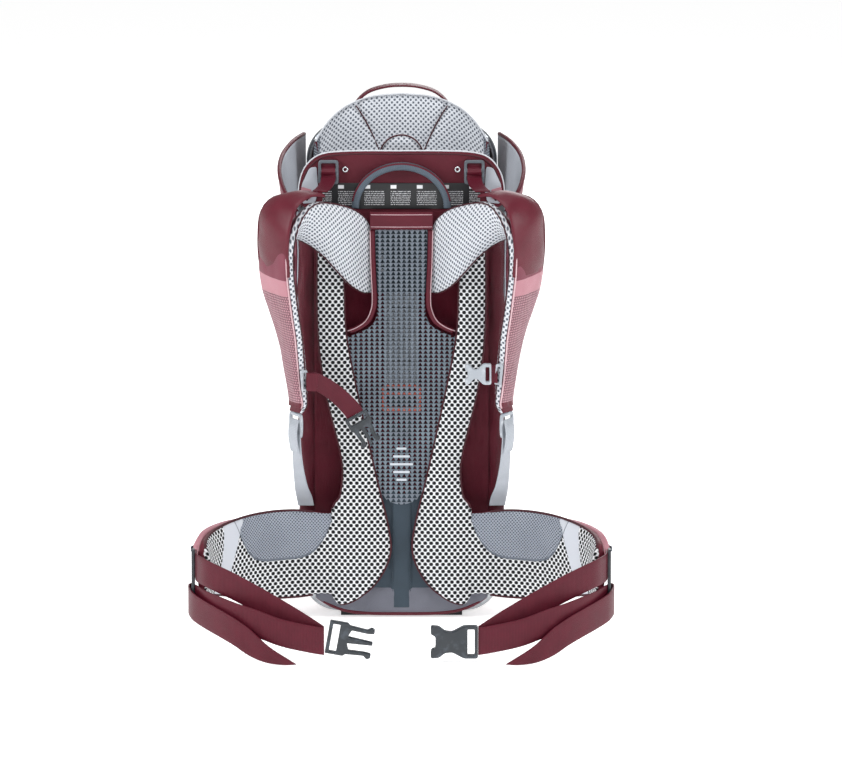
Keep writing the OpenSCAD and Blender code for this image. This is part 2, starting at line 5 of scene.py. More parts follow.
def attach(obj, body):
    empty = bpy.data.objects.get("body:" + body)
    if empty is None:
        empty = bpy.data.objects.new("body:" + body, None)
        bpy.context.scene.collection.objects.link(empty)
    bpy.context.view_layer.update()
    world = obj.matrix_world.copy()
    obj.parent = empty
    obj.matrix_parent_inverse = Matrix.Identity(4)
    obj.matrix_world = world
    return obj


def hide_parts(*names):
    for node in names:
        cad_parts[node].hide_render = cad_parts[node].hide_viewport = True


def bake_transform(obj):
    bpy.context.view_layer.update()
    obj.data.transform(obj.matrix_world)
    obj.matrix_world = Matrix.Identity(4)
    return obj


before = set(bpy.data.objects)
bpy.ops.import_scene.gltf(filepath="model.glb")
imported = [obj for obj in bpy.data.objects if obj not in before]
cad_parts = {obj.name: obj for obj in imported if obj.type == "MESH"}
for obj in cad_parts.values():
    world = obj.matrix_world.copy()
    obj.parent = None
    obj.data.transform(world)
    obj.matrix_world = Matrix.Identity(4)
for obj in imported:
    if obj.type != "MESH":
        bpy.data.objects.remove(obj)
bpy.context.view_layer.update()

# Studio: one long lens at chest height, a plain white floor and soft boxes
# on both sides of the carrier.

aim = Vector((0.0269, 0.004, 0.3286))
tilt = math.radians(12)
camera = bpy.data.objects.new("camera", bpy.data.cameras.new("camera"))
camera.data.lens, camera.data.sensor_width = 372, 36
camera.data.clip_end = 60
camera.location = aim + 12 * Vector((0, -math.cos(tilt), math.sin(tilt)))
camera.rotation_euler = (math.radians(90) - tilt, 0, 0)
bpy.context.collection.objects.link(camera)
bpy.context.scene.camera = camera
bpy.context.scene.view_settings.view_transform = "Standard"

for label, place, size, watts in (
    ("left_box", (-2.6, -1.5, 1.7), 1.1, 54), ("right_box", (2.7, -1.3, 1.5), 1.1, 45),
    ("top_box", (0, -0.4, 3.0), 1.3, 34), ("rear_box", (0.6, 3.2, 1.8), 1.8, 36),
    ("front_box", (0.2, -4.5, 1.6), 1.6, 22),
):
    lamp = bpy.data.lights.new(label, "AREA")
    lamp.size, lamp.energy = size, watts
    holder = bpy.data.objects.new(label, lamp)
    holder.location = place
    holder.rotation_euler = (aim - holder.location).to_track_quat("-Z", "Y").to_euler()
    bpy.context.collection.objects.link(holder)
world = bpy.context.scene.world or bpy.data.worlds.new("world")
bpy.context.scene.world = world
world.use_nodes = True
world.node_tree.nodes["Background"].inputs["Color"].default_value = (1, 1, 1, 1)
world.node_tree.nodes["Background"].inputs["Strength"].default_value = 0.38


class Wire:
    """A shader socket that takes part in plain sums."""

    def __init__(self, tree, socket=None):
        self.tree, self.socket = tree, socket

    def node(self, kind, settings=None, inputs=None, out=0):
        made = self.tree.nodes.new(kind)
        for key, value in (settings or {}).items():
            if key == "stops":
                ramp = made.color_ramp.elements
                while len(ramp) < len(value):
                    ramp.new(0.5)
                for stop, (at, shade) in zip(ramp, value):
                    stop.position, stop.color = at, shade
            else:
                setattr(made, key, value)
        for key, value in (inputs or {}).items():
            if isinstance(value, Wire):
                self.tree.links.new(value.socket, made.inputs[key])
            else:
                made.inputs[key].default_value = value
        return Wire(self.tree, made.outputs[out])

    def sum(self, what, *values, clamp=False):
        return self.node("ShaderNodeMath", {"operation": what, "use_clamp": clamp},
                         dict(enumerate(values)))

    def __add__(self, other): return self.sum("ADD", self, other)
    def __radd__(self, other): return self.sum("ADD", other, self)
    def __sub__(self, other): return self.sum("SUBTRACT", self, other)
    def __rsub__(self, other): return self.sum("SUBTRACT", other, self)
    def __mul__(self, other): return self.sum("MULTIPLY", self, other)
    def __rmul__(self, other): return self.sum("MULTIPLY", other, self)
    def __truediv__(self, other): return self.sum("DIVIDE", self, other)
    def __rtruediv__(self, other): return self.sum("DIVIDE", other, self)
    def __pow__(self, other): return self.sum("POWER", self, other)

    def sine(self): return self.sum("SINE", self)
    def floor(self): return self.sum("FLOOR", self)
    def part(self): return self.sum("FRACT", self)
    def size(self): return self.sum("ABSOLUTE", self)

    def ease(self, low, high):
        """0 below low, 1 above high, smooth between."""
        return self.node("ShaderNodeMapRange", {"interpolation_type": "SMOOTHSTEP"},
                         {0: self, 1: low, 2: high, 3: 0.0, 4: 1.0})

    def blend(self, first, second):
        """The first colour where this is 0 and the second where it is 1."""
        return self.node("ShaderNodeMix", {"data_type": "RGBA"}, {0: self, 6: first, 7: second}, 2)

    def close(self, colour, rough, height=None, depth=0.001, alpha=None, **fixed):
        shader = self.tree.nodes.new("ShaderNodeBsdfPrincipled")
        for key, value in {"Base Color": colour, "Roughness": rough, "Alpha": alpha}.items():
            if isinstance(value, Wire):
                self.tree.links.new(value.socket, shader.inputs[key])
            elif value is not None:
                shader.inputs[key].default_value = value
        for key, value in fixed.items():
            shader.inputs[key.replace("_", " ")].default_value = value
        if height is not None:
            bump = self.node("ShaderNodeBump", None, {"Strength": 1.0, "Distance": depth,
                                                      "Height": height})
            self.tree.links.new(bump.socket, shader.inputs["Normal"])
        out = self.tree.nodes.new("ShaderNodeOutputMaterial")
        self.tree.links.new(shader.outputs[0], out.inputs[0])


def shade(code):
    """A paint-chart colour as the shader's linear colour."""
    parts = [int(code[i:i + 2], 16) / 255 for i in (0, 2, 4)]
    return tuple(c / 12.92 if c < 0.04045 else ((c + 0.055) / 1.055) ** 2.4 for c in parts) + (1,)


def start(name):
    material = bpy.data.materials.new(name)
    material.use_nodes = True
    material.node_tree.nodes.clear()
    return material, Wire(material.node_tree)


def place_of(wire, sewn=False):
    """The two or three numbers a pattern follows: the cloth's own, or the object's."""
    spot = (wire.node("ShaderNodeUVMap", {"uv_map": "cloth"}) if sewn
            else wire.node("ShaderNodeTexCoord", out=3))
    return spot, [wire.node("ShaderNodeSeparateXYZ", None, {0: spot}, k) for k in range(3)]


def cloud(wire, spot, scale, detail=3.0):
    return wire.node("ShaderNodeTexNoise", None, {"Vector": spot, "Scale": scale, "Detail": detail})


floor_material, w = start("floor")
w.close(shade("ffffff"), 0.9, Emission_Color=(1, 1, 1, 1), Emission_Strength=0.55)
bm = bmesh.new()
bmesh.ops.create_grid(bm, x_segments=1, y_segments=1, size=60)
floor = bpy.data.objects.new("floor", bpy.data.meshes.new("floor"))
bm.to_mesh(floor.data)
bm.free()
floor.location.z = -0.0005
floor.data.materials.append(floor_material)
bpy.context.collection.objects.link(floor)

# Tube frame: bent aluminium tubes, brushed and anodised, joined by moulded
# nylon blocks that carry the kickstand's pins, with rubber feet pushed on.


def metal(name, code, rough):
    made, w = start(name)
    spot, _ = place_of(w)
    brushed = cloud(w, w.node("ShaderNodeVectorMath", {"operation": "MULTIPLY"},
                              {0: spot, 1: (90, 90, 900)}), 1.0)
    scuffs = cloud(w, spot, 60.0).ease(0.52, 0.7)
    w.close(scuffs.blend(shade(code), shade("8f949a")), brushed * 0.12 + scuffs * 0.1 + rough,
            brushed, 0.00008, Metallic=1.0)
    return made


def moulded(name, code, light, rough=0.42):
    made, w = start(name)
    spot, _ = place_of(w)
    grain = w.node("ShaderNodeTexVoronoi", None, {"Vector": spot, "Scale": 1500.0})
    worn = cloud(w, spot, 85.0).ease(0.5, 0.72)
    w.close(worn.blend(shade(code), shade(light)), worn * 0.14 + rough,
            grain + worn * 0.4, 0.00012, Coat_Weight=0.08)
    return made


tube_finish = metal("anodised_tube", "aeb2b6", 0.24)
steel_finish = metal("steel_pin", "c9ccd0", 0.2)
dark_plastic = moulded("dark_moulding", "22282e", "3b424a", 0.3)
grey_plastic = moulded("grey_moulding", "4d545c", "6a727b", 0.28)
light_plastic = moulded("light_moulding", "9da3ab", "bfc4ca", 0.3)
orange_plastic = moulded("orange_moulding", "d9573f", "f08a74", 0.36)
rubber = moulded("rubber", "17181a", "26282b", 0.72)


def wear(node, *finishes):
    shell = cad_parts[node]
    if not shell.data.materials:
        shell.data.materials.append(finishes[0])
    for k in range(len(shell.material_slots)):
        shell.material_slots[k].material = finishes[min(k, len(finishes) - 1)]


for node in ("upper_frame_tube", "lower_frame_tube", "cockpit_hoop", "kickstand_tube"):
    wear(node, tube_finish)
wear("pivot_pins", steel_finish)
for node in ("frame_joints", "kickstand_hubs", "slide_rail", "harness_buckle"):
    wear(node, dark_plastic)
for node in ("frame_feet", "kickstand_feet"):
    wear(node, rubber)
wear("release_button", orange_plastic)

# Webbing and yarn: every strap is a flat woven tape of nylon; the maroon ones
# have a satin face with fine ribs across and a selvedge down both edges.


frame_plane = 4
sides = ((-1, "left"), (1, "right"))


def P(x, d, z):
    """A point given in millimetres: across, behind the tube frame's plane, and up."""
    return Vector((x, d + frame_plane, z)) * 0.001


def on_side(side, points):
    """Points of the right-hand piece, or turned over for the left-hand one."""
    return [(side * x, d, z) for x, d, z in points]


def through(points, k=4):
    """A smooth run of points through the given ones, k to each step."""
    points = [Vector(p) for p in points]
    last, run = len(points) - 1, []
    for i in range(last):
        a, b, c, e = points[max(i - 1, 0)], points[i], points[i + 1], points[min(i + 2, last)]
        for s in range(k):
            t = s / k
            run.append(0.5 * (2 * b + (c - a) * t + (2 * a - 5 * b + 4 * c - e) * t * t
                              + (3 * b - a - 3 * c + e) * t ** 3))
    return run + [points[last]]


def at(run, v):
    """The point at v, from 0 to 1, of a run made by through()."""
    f = v * (len(run) - 1)
    i = min(int(f), len(run) - 2)
    return run[i].lerp(run[i + 1], f - i)


def pointing(run, v):
    """The run's own point nearest to v, its number, and the way the run goes there."""
    last = len(run) - 1
    i = round(v * last)
    return i, run[i], (run[min(i + 1, last)] - run[max(i - 1, 0)]).normalized()


def numbers(values, k=4):
    return [v.x for v in through([(v, 0, 0) for v in values], k)]


def finish(name, bm, materials, body, replaces=(), smooth=True):
    bmesh.ops.recalc_face_normals(bm, faces=bm.faces)
    mesh = bpy.data.meshes.new(name)
    bm.to_mesh(mesh)
    bm.free()
    piece = bpy.data.objects.new(name, mesh)
    for m in materials:
        mesh.materials.append(m)
    mesh.shade_smooth() if smooth else mesh.shade_flat()
    bpy.context.collection.objects.link(piece)
    if body:
        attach(piece, body)
    if replaces:
        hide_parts(*replaces)
    return piece


def laid(name, nx, ny, where, materials, body, replaces=(), closed=False, ends=False, zone=None,
         middle=0.5):
    """Cloth laid to where(u, v); its own map holds metres across and along."""
    bm = bmesh.new()
    bmesh.ops.create_grid(bm, x_segments=nx, y_segments=ny, size=1)
    layer = bm.loops.layers.uv.new("cloth")
    slots = {v: (round((v.co.x + 1) / 2 * nx), round((v.co.y + 1) / 2 * ny)) for v in bm.verts}
    spots = [[where(i / nx, j / ny) for i in range(nx + 1)] for j in range(ny + 1)]
    mid = round(middle * nx)
    along = [0.0]
    for j in range(ny):
        along.append(along[-1] + (spots[j + 1][mid] - spots[j][mid]).length)
    across = []
    for row in spots:
        run = [0.0]
        for i in range(nx):
            run.append(run[-1] + (row[i + 1] - row[i]).length)
        across.append([r - run[mid] for r in run])
    for face in bm.faces:
        i = sum(slots[v][0] for v in face.verts) / 4
        j = sum(slots[v][1] for v in face.verts) / 4
        if zone:
            face.material_index = zone(i / nx, j / ny)
        for loop in face.loops:
            a, b = slots[loop.vert]
            loop[layer].uv = (across[b][a], along[b])
    for v, (i, j) in slots.items():
        v.co = spots[j][i]
    if closed:
        bmesh.ops.remove_doubles(bm, verts=bm.verts, dist=0.00002)
    if ends:
        bmesh.ops.holes_fill(bm, edges=[e for e in bm.edges if e.is_boundary], sides=0)
    return finish(name, bm, materials, body, replaces)


def thicken(piece, t, offset=0.0, bevel=0.0):
    solid = piece.modifiers.new("thickness", "SOLIDIFY")
    solid.thickness, solid.offset = t, offset
    if bevel:
        soft = piece.modifiers.new("edges", "BEVEL")
        soft.width, soft.segments, soft.limit_method = bevel, 2, "ANGLE"
    return piece


def tape(name, centre, widths, width, finish_with, body, replaces=(), t=2.0, k=8):
    """A webbing along a centre line: widths hold the way its width lies at each point."""
    cs, ws = through(centre, k), through(widths, k)
    def where(u, v):
        return P(*(at(cs, v) + at(ws, v).normalized() * width * (u - 0.5)))
    return thicken(laid(name, 6, 2 * (len(cs) - 1), where, [finish_with], body, replaces),
                   t * 0.001, 0.0, 0.0004)


def cord(name, points, r, finish_with, body, replaces=(), k=4, facets=8):
    """A round piping or cord of radius r along points, in millimetres."""
    run = through(points, k)
    side = Vector((0.31, 0.22, 0.93))
    def where(u, v):
        _, point, way = pointing(run, v)
        a = way.cross(side).normalized()
        b = way.cross(a)
        angle = 2 * math.pi * u
        return P(*(point + (a * math.cos(angle) + b * math.sin(angle)) * r))
    return laid(name, facets, len(run) - 1, where, [finish_with], body, replaces, closed=True,
                ends=True)


def woven(name, code, painted_glint, rough=0.42, rib=1500.0):
    """Ribbed tape, lighter in noise patches and along the ribs and threads: a painted glint that
    stands in for the satin face's sheen.
    """
    made, w = start(name)
    spot, (u, v, _) = place_of(w, sewn=True)
    ribs = (v * rib * 2).sine() * 0.5 + 0.5
    threads = (u * 5200.0 + v * 2600.0).sine() * 0.5 + 0.5
    tone = cloud(w, spot, 45.0)
    # Painted highlight: the glint colour is mixed in by noise, ribs and threads, the same on every
    # face.
    colour = (tone * 0.5 + ribs * 0.25 + threads * 0.2).blend(shade(code), shade(painted_glint))
    w.close(colour, tone * 0.12 + rough, ribs * 0.7 + threads * 0.3, 0.00025,
            Specular_IOR_Level=0.26)
    return made


maroon_tape = woven("maroon_tape", "3c0615", "66182b", 0.36)
light_tape = woven("light_tape", "8f959e", "c3c8cf", 0.45)
dark_tape = woven("dark_tape", "3a444e", "5d6975", 0.5)
piping_pink = woven("piping_pink", "b98f97", "e2c6cb", 0.5)
piping_dark = woven("piping_dark", "2e1218", "54262f", 0.5)
piping_light = woven("piping_light", "a9adb5", "d9dce1", 0.5)

# Cloths: the pack body is a satin nylon, the wings and covers a textured
# polyester, and every face that touches the wearer is a spacer mesh.


def cloth(name, code, light, rough=0.5, weave=0.9, wrinkles=0.0, sheen=0.3, sewn=False):
    """Plain weave, weave in millimetres between yarns, and soft creases."""
    made, w = start(name)
    spot, (x, y, z) = place_of(w, sewn)
    k = 2 * math.pi / (weave * 0.001)
    across = (x + y) if not sewn else x
    along = z if not sewn else y
    yarn = ((across * k).sine() * (along * k).sine()) * 0.5 + 0.5
    tone = cloud(w, spot, 28.0)
    crease = cloud(w, w.node("ShaderNodeVectorMath", {"operation": "MULTIPLY"},
                             {0: spot, 1: (26, 26, 9)}), 1.0, 4.0)
    colour = (tone * 0.55 + yarn * 0.35).blend(shade(code), shade(light))
    w.close(colour, tone * 0.16 + rough, yarn * (0.02 if sewn else 0.06) + crease * wrinkles,
            0.0012 + 0.006 * wrinkles, Sheen_Weight=sheen, Sheen_Roughness=0.4,
            Specular_IOR_Level=0.28)
    return made


def hexed(name, code, light, pitch=3.4):
    """Textured cover cloth: rows of little raised hexagons, with painted shade darkening the
    grooves between them.
    """
    made, w = start(name)
    spot, (u, v, _) = place_of(w, sewn=True)
    row = (v / (pitch * 0.00087)).floor()
    a = ((u / (pitch * 0.001)) + (row * 0.5).part()).part() - 0.5
    b = (v / (pitch * 0.00087)).part() - 0.5
    reach = (a * a + b * b) ** 0.5
    raised = 1.0 - reach.ease(0.24, 0.5)
    tone = cloud(w, spot, 30.0)
    # Painted shade: the grooves between the raised hexagons take the darker colour and the raised
    # tops the lighter one.
    w.close((raised * 0.7 + tone * 0.3).blend(shade(code), shade(light)), tone * 0.1 + 0.5,
            raised, 0.0009, Sheen_Weight=0.08, Specular_IOR_Level=0.5)
    return made


def knitted(w, spot, u, v, light, dark, across, along, hole, triangle=False, soft=0.25):
    """Colour, solid part and height of a mesh with staggered holes, sizes in millimetres."""
    f = v / (along * 0.001)
    shift = 0.0 if triangle else (f.floor() * 0.5).part()
    a = (((u / (across * 0.001)) + shift).part() - 0.5) * across
    b = (f.part() - 0.5) * along
    if triangle:
        reach = w.sum("MAXIMUM", (a.size() * 0.87 + b * 0.5), b * -1.0) * 1.25
    else:
        reach = (a * a + b * b) ** 0.5
    solid = reach.ease(hole / 2 - soft, hole / 2 + soft)
    knit = ((u * 5200.0).sine() * (v * 5200.0).sine()) * 0.5 + 0.5
    tone = cloud(w, spot, 22.0)
    body = (tone * 0.5 + knit * 0.3).blend(shade(light[0]), shade(light[1]))
    # Painted shade: the holes take the dark colour, and a ring round each hole's rim is darkened
    # towards it, as if its walls were in shadow.
    ring = reach.ease(hole / 2, hole / 2 + 1.2)
    colour = solid.blend(shade(dark), (ring * 0.45 + 0.55).blend(shade(dark), body))
    return colour, solid, solid * 0.85 + ring * 0.3 + knit * 0.05


def spacer(name, light, dark, across, along, hole, sewn=True, open_holes=False, triangle=False):
    """Spacer mesh: holes knitted in rows, painted dark as shade in the holes, or open to what is
    behind.
    """
    made, w = start(name)
    spot, (x, y, z) = place_of(w, sewn)
    u, v = (x, y) if sewn else (x, z)
    colour, solid, height = knitted(w, spot, u, v, light, dark, across, along, hole, triangle)
    w.close(colour, 0.75, height, 0.0013, alpha=(solid if open_holes else None),
            Specular_IOR_Level=0.3)
    return made


def wing_facing():
    """Large mesh below, a finer grey inset with a turned edge above, plain cloth at the tip."""
    made, w = start("wing_mesh")
    spot, (u, v, _) = place_of(w, sewn=True)
    colour_a, _, height_a = knitted(w, spot, u, v, ("dde0e5", "ffffff"), "0b0d11", 8.2, 5.0, 4.9)
    colour_b, _, height_b = knitted(w, spot, u, v, ("8b929f", "b9c0ca"), "454c58", 4.6, 2.4, 1.7)
    side = ((u - 0.168) / 0.074) ** 4.0
    rise = v - 0.087 - side * 0.06
    inset = rise.ease(-0.0004, 0.0004)
    edge = 1 - (rise.size()).ease(0.0008, 0.0022)
    tip = (u - 0.25 + (v - 0.1) * 0.45).ease(-0.0004, 0.0004) * (
        1 - (u - 0.282 + (v - 0.1) * 0.3).ease(-0.0004, 0.0004))
    colour = inset.blend(colour_a, colour_b)
    colour = tip.blend(colour, shade("c9cdd5"))
    # Painted shade: a darker grey line along the inset's turned edge, where the cloth also sinks as
    # a groove.
    colour = edge.blend(colour, shade("6f7783"))
    height = (height_a * (1 - inset) + height_b * inset * 0.5) * (1 - tip) + tip * 0.8 - edge * 0.9
    w.close(colour, 0.72, height, 0.0015, Specular_IOR_Level=0.3)
    return made


satin = cloth("maroon_satin", "480a19", "7c2639", 0.3, 0.6, 2.0, 0.0)
maroon_cloth = cloth("maroon_cloth", "430817", "64192a", 0.45, 1.0, 0.3, 0.0)
maroon_sewn = cloth("maroon_sewn", "430817", "691c2e", 0.42, 1.0, 0.3, 0.0, sewn=True)
dusty_cloth = cloth("dusty_cloth", "5a2030", "8a4a58", 0.4, 0.9, 0.25, 0.0, sewn=True)
flap_cloth = cloth("flap_cloth", "400815", "722636", 0.3, 0.9, 0.2, 0.0, sewn=True)
pink_cloth = cloth("pink_cloth", "9b656f", "bd8b95", 0.45, 0.9, 0.3, 0.1, sewn=True)
textured_pink = hexed("textured_pink", "512430", "bb8893", 4.2)
light_cloth = cloth("light_cloth", "969ca6", "c6cbd3", 0.5, 0.9, 0.3, 0.1, sewn=True)
slate_cloth = cloth("slate_cloth", "27333d", "45535f", 0.45, 0.9, 0.3, 0.1)
purple_cloth = cloth("purple_grey_cloth", "61636f", "8c8e99", 0.42, 0.9, 1.2, 0.05)
small_mesh = spacer("small_dot_mesh", ("c2c6ce", "eceef2"), "5a606b", 7.6, 3.9, 2.9)
head_mesh = spacer("head_mesh", ("bcc2cb", "e9ecf1"), "5b626e", 7.5, 3.75, 2.5)
large_mesh = spacer("large_hole_mesh", ("dde0e5", "ffffff"), "0b0d11", 8.2, 5.0, 4.9)
gusset_mesh = spacer("gusset_mesh", ("7e8590", "a7adb8"), "3c424c", 4.0, 2.2, 1.5)
wing_mesh = wing_facing()
net = spacer("back_net", ("4d5661", "9ea8b4"), "0c0e11", 7.4, 5.8, 3.9, sewn=False,
             open_holes=True, triangle=True)

# Pack body: maroon satin over the frame, one sleeve sewn round each upright
# tube and a taut sheet across the board between them.

for side, word in sides:
    def where(u, v, side=side):
        z = 129 + 397 * v
        angle = 2 * math.pi * u
        fold = 2.8 * noise.noise(Vector((math.cos(angle) + z * 0.012,
                                         side * 3 + math.sin(angle), z * 0.03)))
        r = 12.6 + fold + (0.8 if v in (0, 1) else 0)
        return P(side * (128 + r * 1.05 * math.sin(angle)), -r * math.cos(angle), z)
    laid("sleeve_" + word, 28, 110, where, [satin], "frame", closed=True, ends=True)
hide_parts("frame_sleeves")
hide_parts("frame_sleeves")


def board(u, v):
    z = 30 + 515 * v
    half = 120 - (16 * max(0, (z - 520) / 25))
    x = (2 * u - 1) * half
    pull = 3.4 * noise.noise(Vector((x * 0.03 + z * 0.012, z * 0.016, 1)))
    pull *= 1 - abs(2 * u - 1) ** 6
    return P(x, -10.8 - max(0, pull), z)


back_board = thicken(laid("back_board", 60, 120, board, [satin], "frame", ["back_plate"]), 0.0024)

# Central net: one knitted panel stretched between the padded stripes, its two
# upper openings bound in maroon, closed by a maroon band at the top.

net_edge = (through([(35.6, 548, 0), (34.6, 500, 0), (32.2, 450, 0), (37.4, 417, 0),
                     (59.5, 401.5, 0), (84, 394, 0)], 6)
            + through([(76, 330, 0), (60, 250, 0), (44, 196, 0), (22, 168, 0), (4, 160, 0)], 6))


def net_half(z):
    """Half width of the net at a height."""
    for p, q in zip(net_edge, net_edge[1:]):
        if min(p.y, q.y) <= z <= max(p.y, q.y) and p.y != q.y:
            return p.x + (q.x - p.x) * (z - p.y) / (q.y - p.y)
    return net_edge[0].x if z > 400 else 4


def net_at(u, v):
    z = 548 - 388 * v
    x = (2 * u - 1) * net_half(z)
    return P(x, -26.7 + 2.4 * math.cos(math.pi * (u - 0.5)) * math.sin(math.pi * v), z)


back_net = thicken(laid("back_net", 24, 110, net_at, [net], "frame", ["back_mesh"]), 0.0012)

for side, word in sides:
    rail = on_side(side, ((40, 0, 546), (39, 0, 500), (37, 0, 450), (39.6, 0, 432),
                          (47, 0, 418), (60, 0, 409), (71, 0, 405)))
    def bound(u, v, rail=through(rail, 8)):
        _, p, way = pointing(rail, v)
        out = way.cross(Vector((0, 1, 0)))
        angle = 2 * math.pi * u
        return P(*(p + out * 3.6 * math.cos(angle) + Vector((0, -26.4 + 2.6 * math.sin(angle), 0))))
    laid("net_binding_" + word, 14, 48, bound, [maroon_sewn], "frame", ["mesh_trim"],
         closed=True, ends=True)
    cord("net_stitch_" + word, [(p[0] + side * 3.0, -28.6, p[2]) for p in rail], 0.7,
         piping_pink, "frame")

tape("net_top_band", [(-43, -28.2, 559.5), (0, -29.6, 559.5), (43, -28.2, 559.5)], [(0, 0, 1)] * 3,
     24, maroon_sewn, "frame", ["mesh_trim"], t=4.5)
for z in (551, 568):
    cord("band_stitch_%d" % z, [(-42, -30.4, z), (0, -31.8, z), (42, -30.4, z)], 0.5,
         piping_pink, "frame")

# Padded stripes: foam faced with large-hole spacer mesh, bound in dark piping.
# They widen into the lumbar pads and run on into the hip wings.

outer_edge = through([(92, 562, 0), (112, 552, 0), (116, 500, 0), (115, 400, 0), (105, 320, 0),
                      (86, 240, 0), (82, 206, 0), (86, 172, 0), (97, 150, 0), (97.6, 60, 0),
                      (97, 34, 0), (88, 19, 0)], 8)
inner_edge = through([(88, 19, 0), (66, 24, 0), (34, 50, 0), (15, 90, 0), (18, 132, 0),
                      (34, 200, 0), (58, 310, 0), (75, 400, 0), (78, 470, 0), (82, 540, 0),
                      (92, 562, 0)], 8)[::-1]


def edge_at(edge, z, pick=None):
    hits = [p.x + (q.x - p.x) * (z - p.y) / (q.y - p.y) for p, q in zip(edge, edge[1:])
            if min(p.y, q.y) <= z <= max(p.y, q.y) and p.y != q.y]
    if not hits:
        return edge[0].x if z > 300 else edge[-1].x
    return pick(hits) if pick else hits[0]


def around(u, power):
    """A soft rectangle's edge, both ways from -1 to 1, starting at one side."""
    c, s = math.cos(2 * math.pi * u), math.sin(2 * math.pi * u)
    return (math.copysign(abs(c) ** (2 / power), c), math.copysign(abs(s) ** (2 / power), s))


for side, word in sides:
    def stripe(u, v, side=side):
        lift = 0.5 - 0.5 * math.cos(math.pi * v)
        z = 20 + 541 * lift
        a, b = edge_at(inner_edge, z, min), edge_at(outer_edge, z, max)
        s, f = around(u, 3.4)
        near_end = min(1, (z - 16) / 12, (565 - z) / 14) ** 0.5
        x = (a + b) / 2 + (b - a) / 2 * s
        crown = 1.4 * (1 - s * s) if f < 0 else 0
        return P(side * x, -24.4 + f * 11.4 * near_end - crown, z)
    pad = laid("back_stripe_" + word, 64, 190, stripe, [large_mesh, maroon_sewn], "frame",
               ["back_pad_" + word], closed=True, ends=True,
               zone=lambda u, v: 0 if 0.52 < u < 0.98 else 1)
    layer = pad.data.uv_layers["cloth"].data
    for loop in pad.data.loops:
        co = pad.data.vertices[loop.vertex_index].co
        layer[loop.index].uv = (abs(co.x), co.z)
    rim = [(side * (p.x - 0.6), -31.5, p.y) for p in outer_edge[::3] if p.y > 152]
    cord("stripe_piping_out_" + word, rim, 1.3, piping_dark, "frame", k=2)
    rim = [(side * (p.x + 0.6), -31.5, p.y) for p in inner_edge[::3]]
    cord("stripe_piping_in_" + word, rim, 1.3, piping_dark, "frame", k=2)

# Lumbar panel: stretch cloth between the pads with a raised band down the
# middle, and the purple-grey base that the belt is sewn to.

def lumbar(u, v):
    z = 14 + 164 * v
    x = (2 * u - 1) * (100 - 62 * min(1, max(0, (z - 28) / 110)) ** 0.8)
    band = 1.6 if abs(x) < 12 else 0
    top = 184 - 0.55 * (22 - min(22, abs(x)))
    return P(x, -21.5 - band - 1.8 * math.cos(math.pi * (u - 0.5)), min(z, top))


lumbar_piece = thicken(laid("lumbar_cloth", 60, 60, lumbar, [slate_cloth], "frame",
                            ["lumbar_panel"]), 0.0024)
for x in (-12, 12):
    cord("lumbar_seam_%s" % ("a" if x < 0 else "b"),
         [(x, -24.4, 28), (x, -26.3, 60), (x, -26.0, 110), (x, -25.4, 160)], 0.6, slate_cloth,
         "frame")


base_half = 119


def base_strip(u, v):
    s, f = around(u, 4)
    x = (2 * v - 1) * base_half
    low, high = 1.5 + 26 * abs(2 * v - 1) ** 4, 44 - 8 * abs(2 * v - 1) ** 2
    return P(x, -19.5 + 6.4 * f, (low + high) / 2 + (high - low) / 2 * s)


laid("base_strip", 32, 60, base_strip, [purple_cloth, maroon_cloth], "frame", ["lumbar_panel"],
     closed=True, ends=True,
     zone=lambda u, v: 1 if around(u, 4)[0] < -0.7 else 0)
cord("base_edge", [(x, -25.2, 6 + 24 * abs(x / base_half) ** 4) for x in range(-108, 109, 27)],
     1.0, maroon_tape, "frame")

# Cockpit front: a stiff padded board in maroon cloth piped in white, with grey
# corners, the care label, the lifter rings and the wearer-side grab handle.


def flat(name, outlines, t, bevel, turn, finish_with, body, replaces=(), steps=3):
    """A plate t thick from flat outlines in millimetres; turn(point) puts it in place."""
    curve = bpy.data.curves.new(name, "CURVE")
    curve.dimensions, curve.fill_mode = "2D", "BOTH"
    curve.extrude, curve.bevel_depth = t / 2 - bevel, bevel
    curve.bevel_resolution = steps
    curve.offset = -bevel
    for outline in outlines:
        line = curve.splines.new("POLY")
        line.points.add(len(outline) - 1)
        for point, (x, y) in zip(line.points, outline):
            point.co = (x, y, 0, 1)
        line.use_cyclic_u = True
    holder = bpy.data.objects.new(name, curve)
    bpy.context.collection.objects.link(holder)
    shape = holder.evaluated_get(bpy.context.evaluated_depsgraph_get())
    mesh = bpy.data.meshes.new_from_object(shape)
    bpy.data.objects.remove(holder)
    bm = bmesh.new()
    bm.from_mesh(mesh)
    bmesh.ops.remove_doubles(bm, verts=bm.verts, dist=0.01)
    for v in bm.verts:
        v.co = turn(v.co)
    layer = bm.loops.layers.uv.get("cloth") or bm.loops.layers.uv.new("cloth")
    for face in bm.faces:
        for loop in face.loops:
            loop[layer].uv = (loop.vert.co.x + loop.vert.co.y * 0.5, loop.vert.co.z)
    piece = finish(name, bm, [finish_with], body, replaces, smooth=False)
    piece.data.shade_smooth()
    piece.data.set_sharp_from_angle(angle=math.radians(50))
    return piece


def rounded(points, r, n=4):
    """An outline with its corners rounded by r, or by each corner's own radius."""
    radii = r if isinstance(r, (list, tuple)) else [r] * len(points)
    run, count = [], len(points)
    for i, (p, q) in enumerate(zip(points, radii)):
        p = Vector(p)
        a, b = Vector(points[i - 1]), Vector(points[(i + 1) % count])
        q = min(q, (a - p).length * 0.49, (b - p).length * 0.49)
        start_at, stop_at = p + (a - p).normalized() * q, p + (b - p).normalized() * q
        for k in range(n + 1):
            t = k / n
            s = start_at.lerp(p, t).lerp(p.lerp(stop_at, t), t)
            run.append((s.x, s.y))
    return run


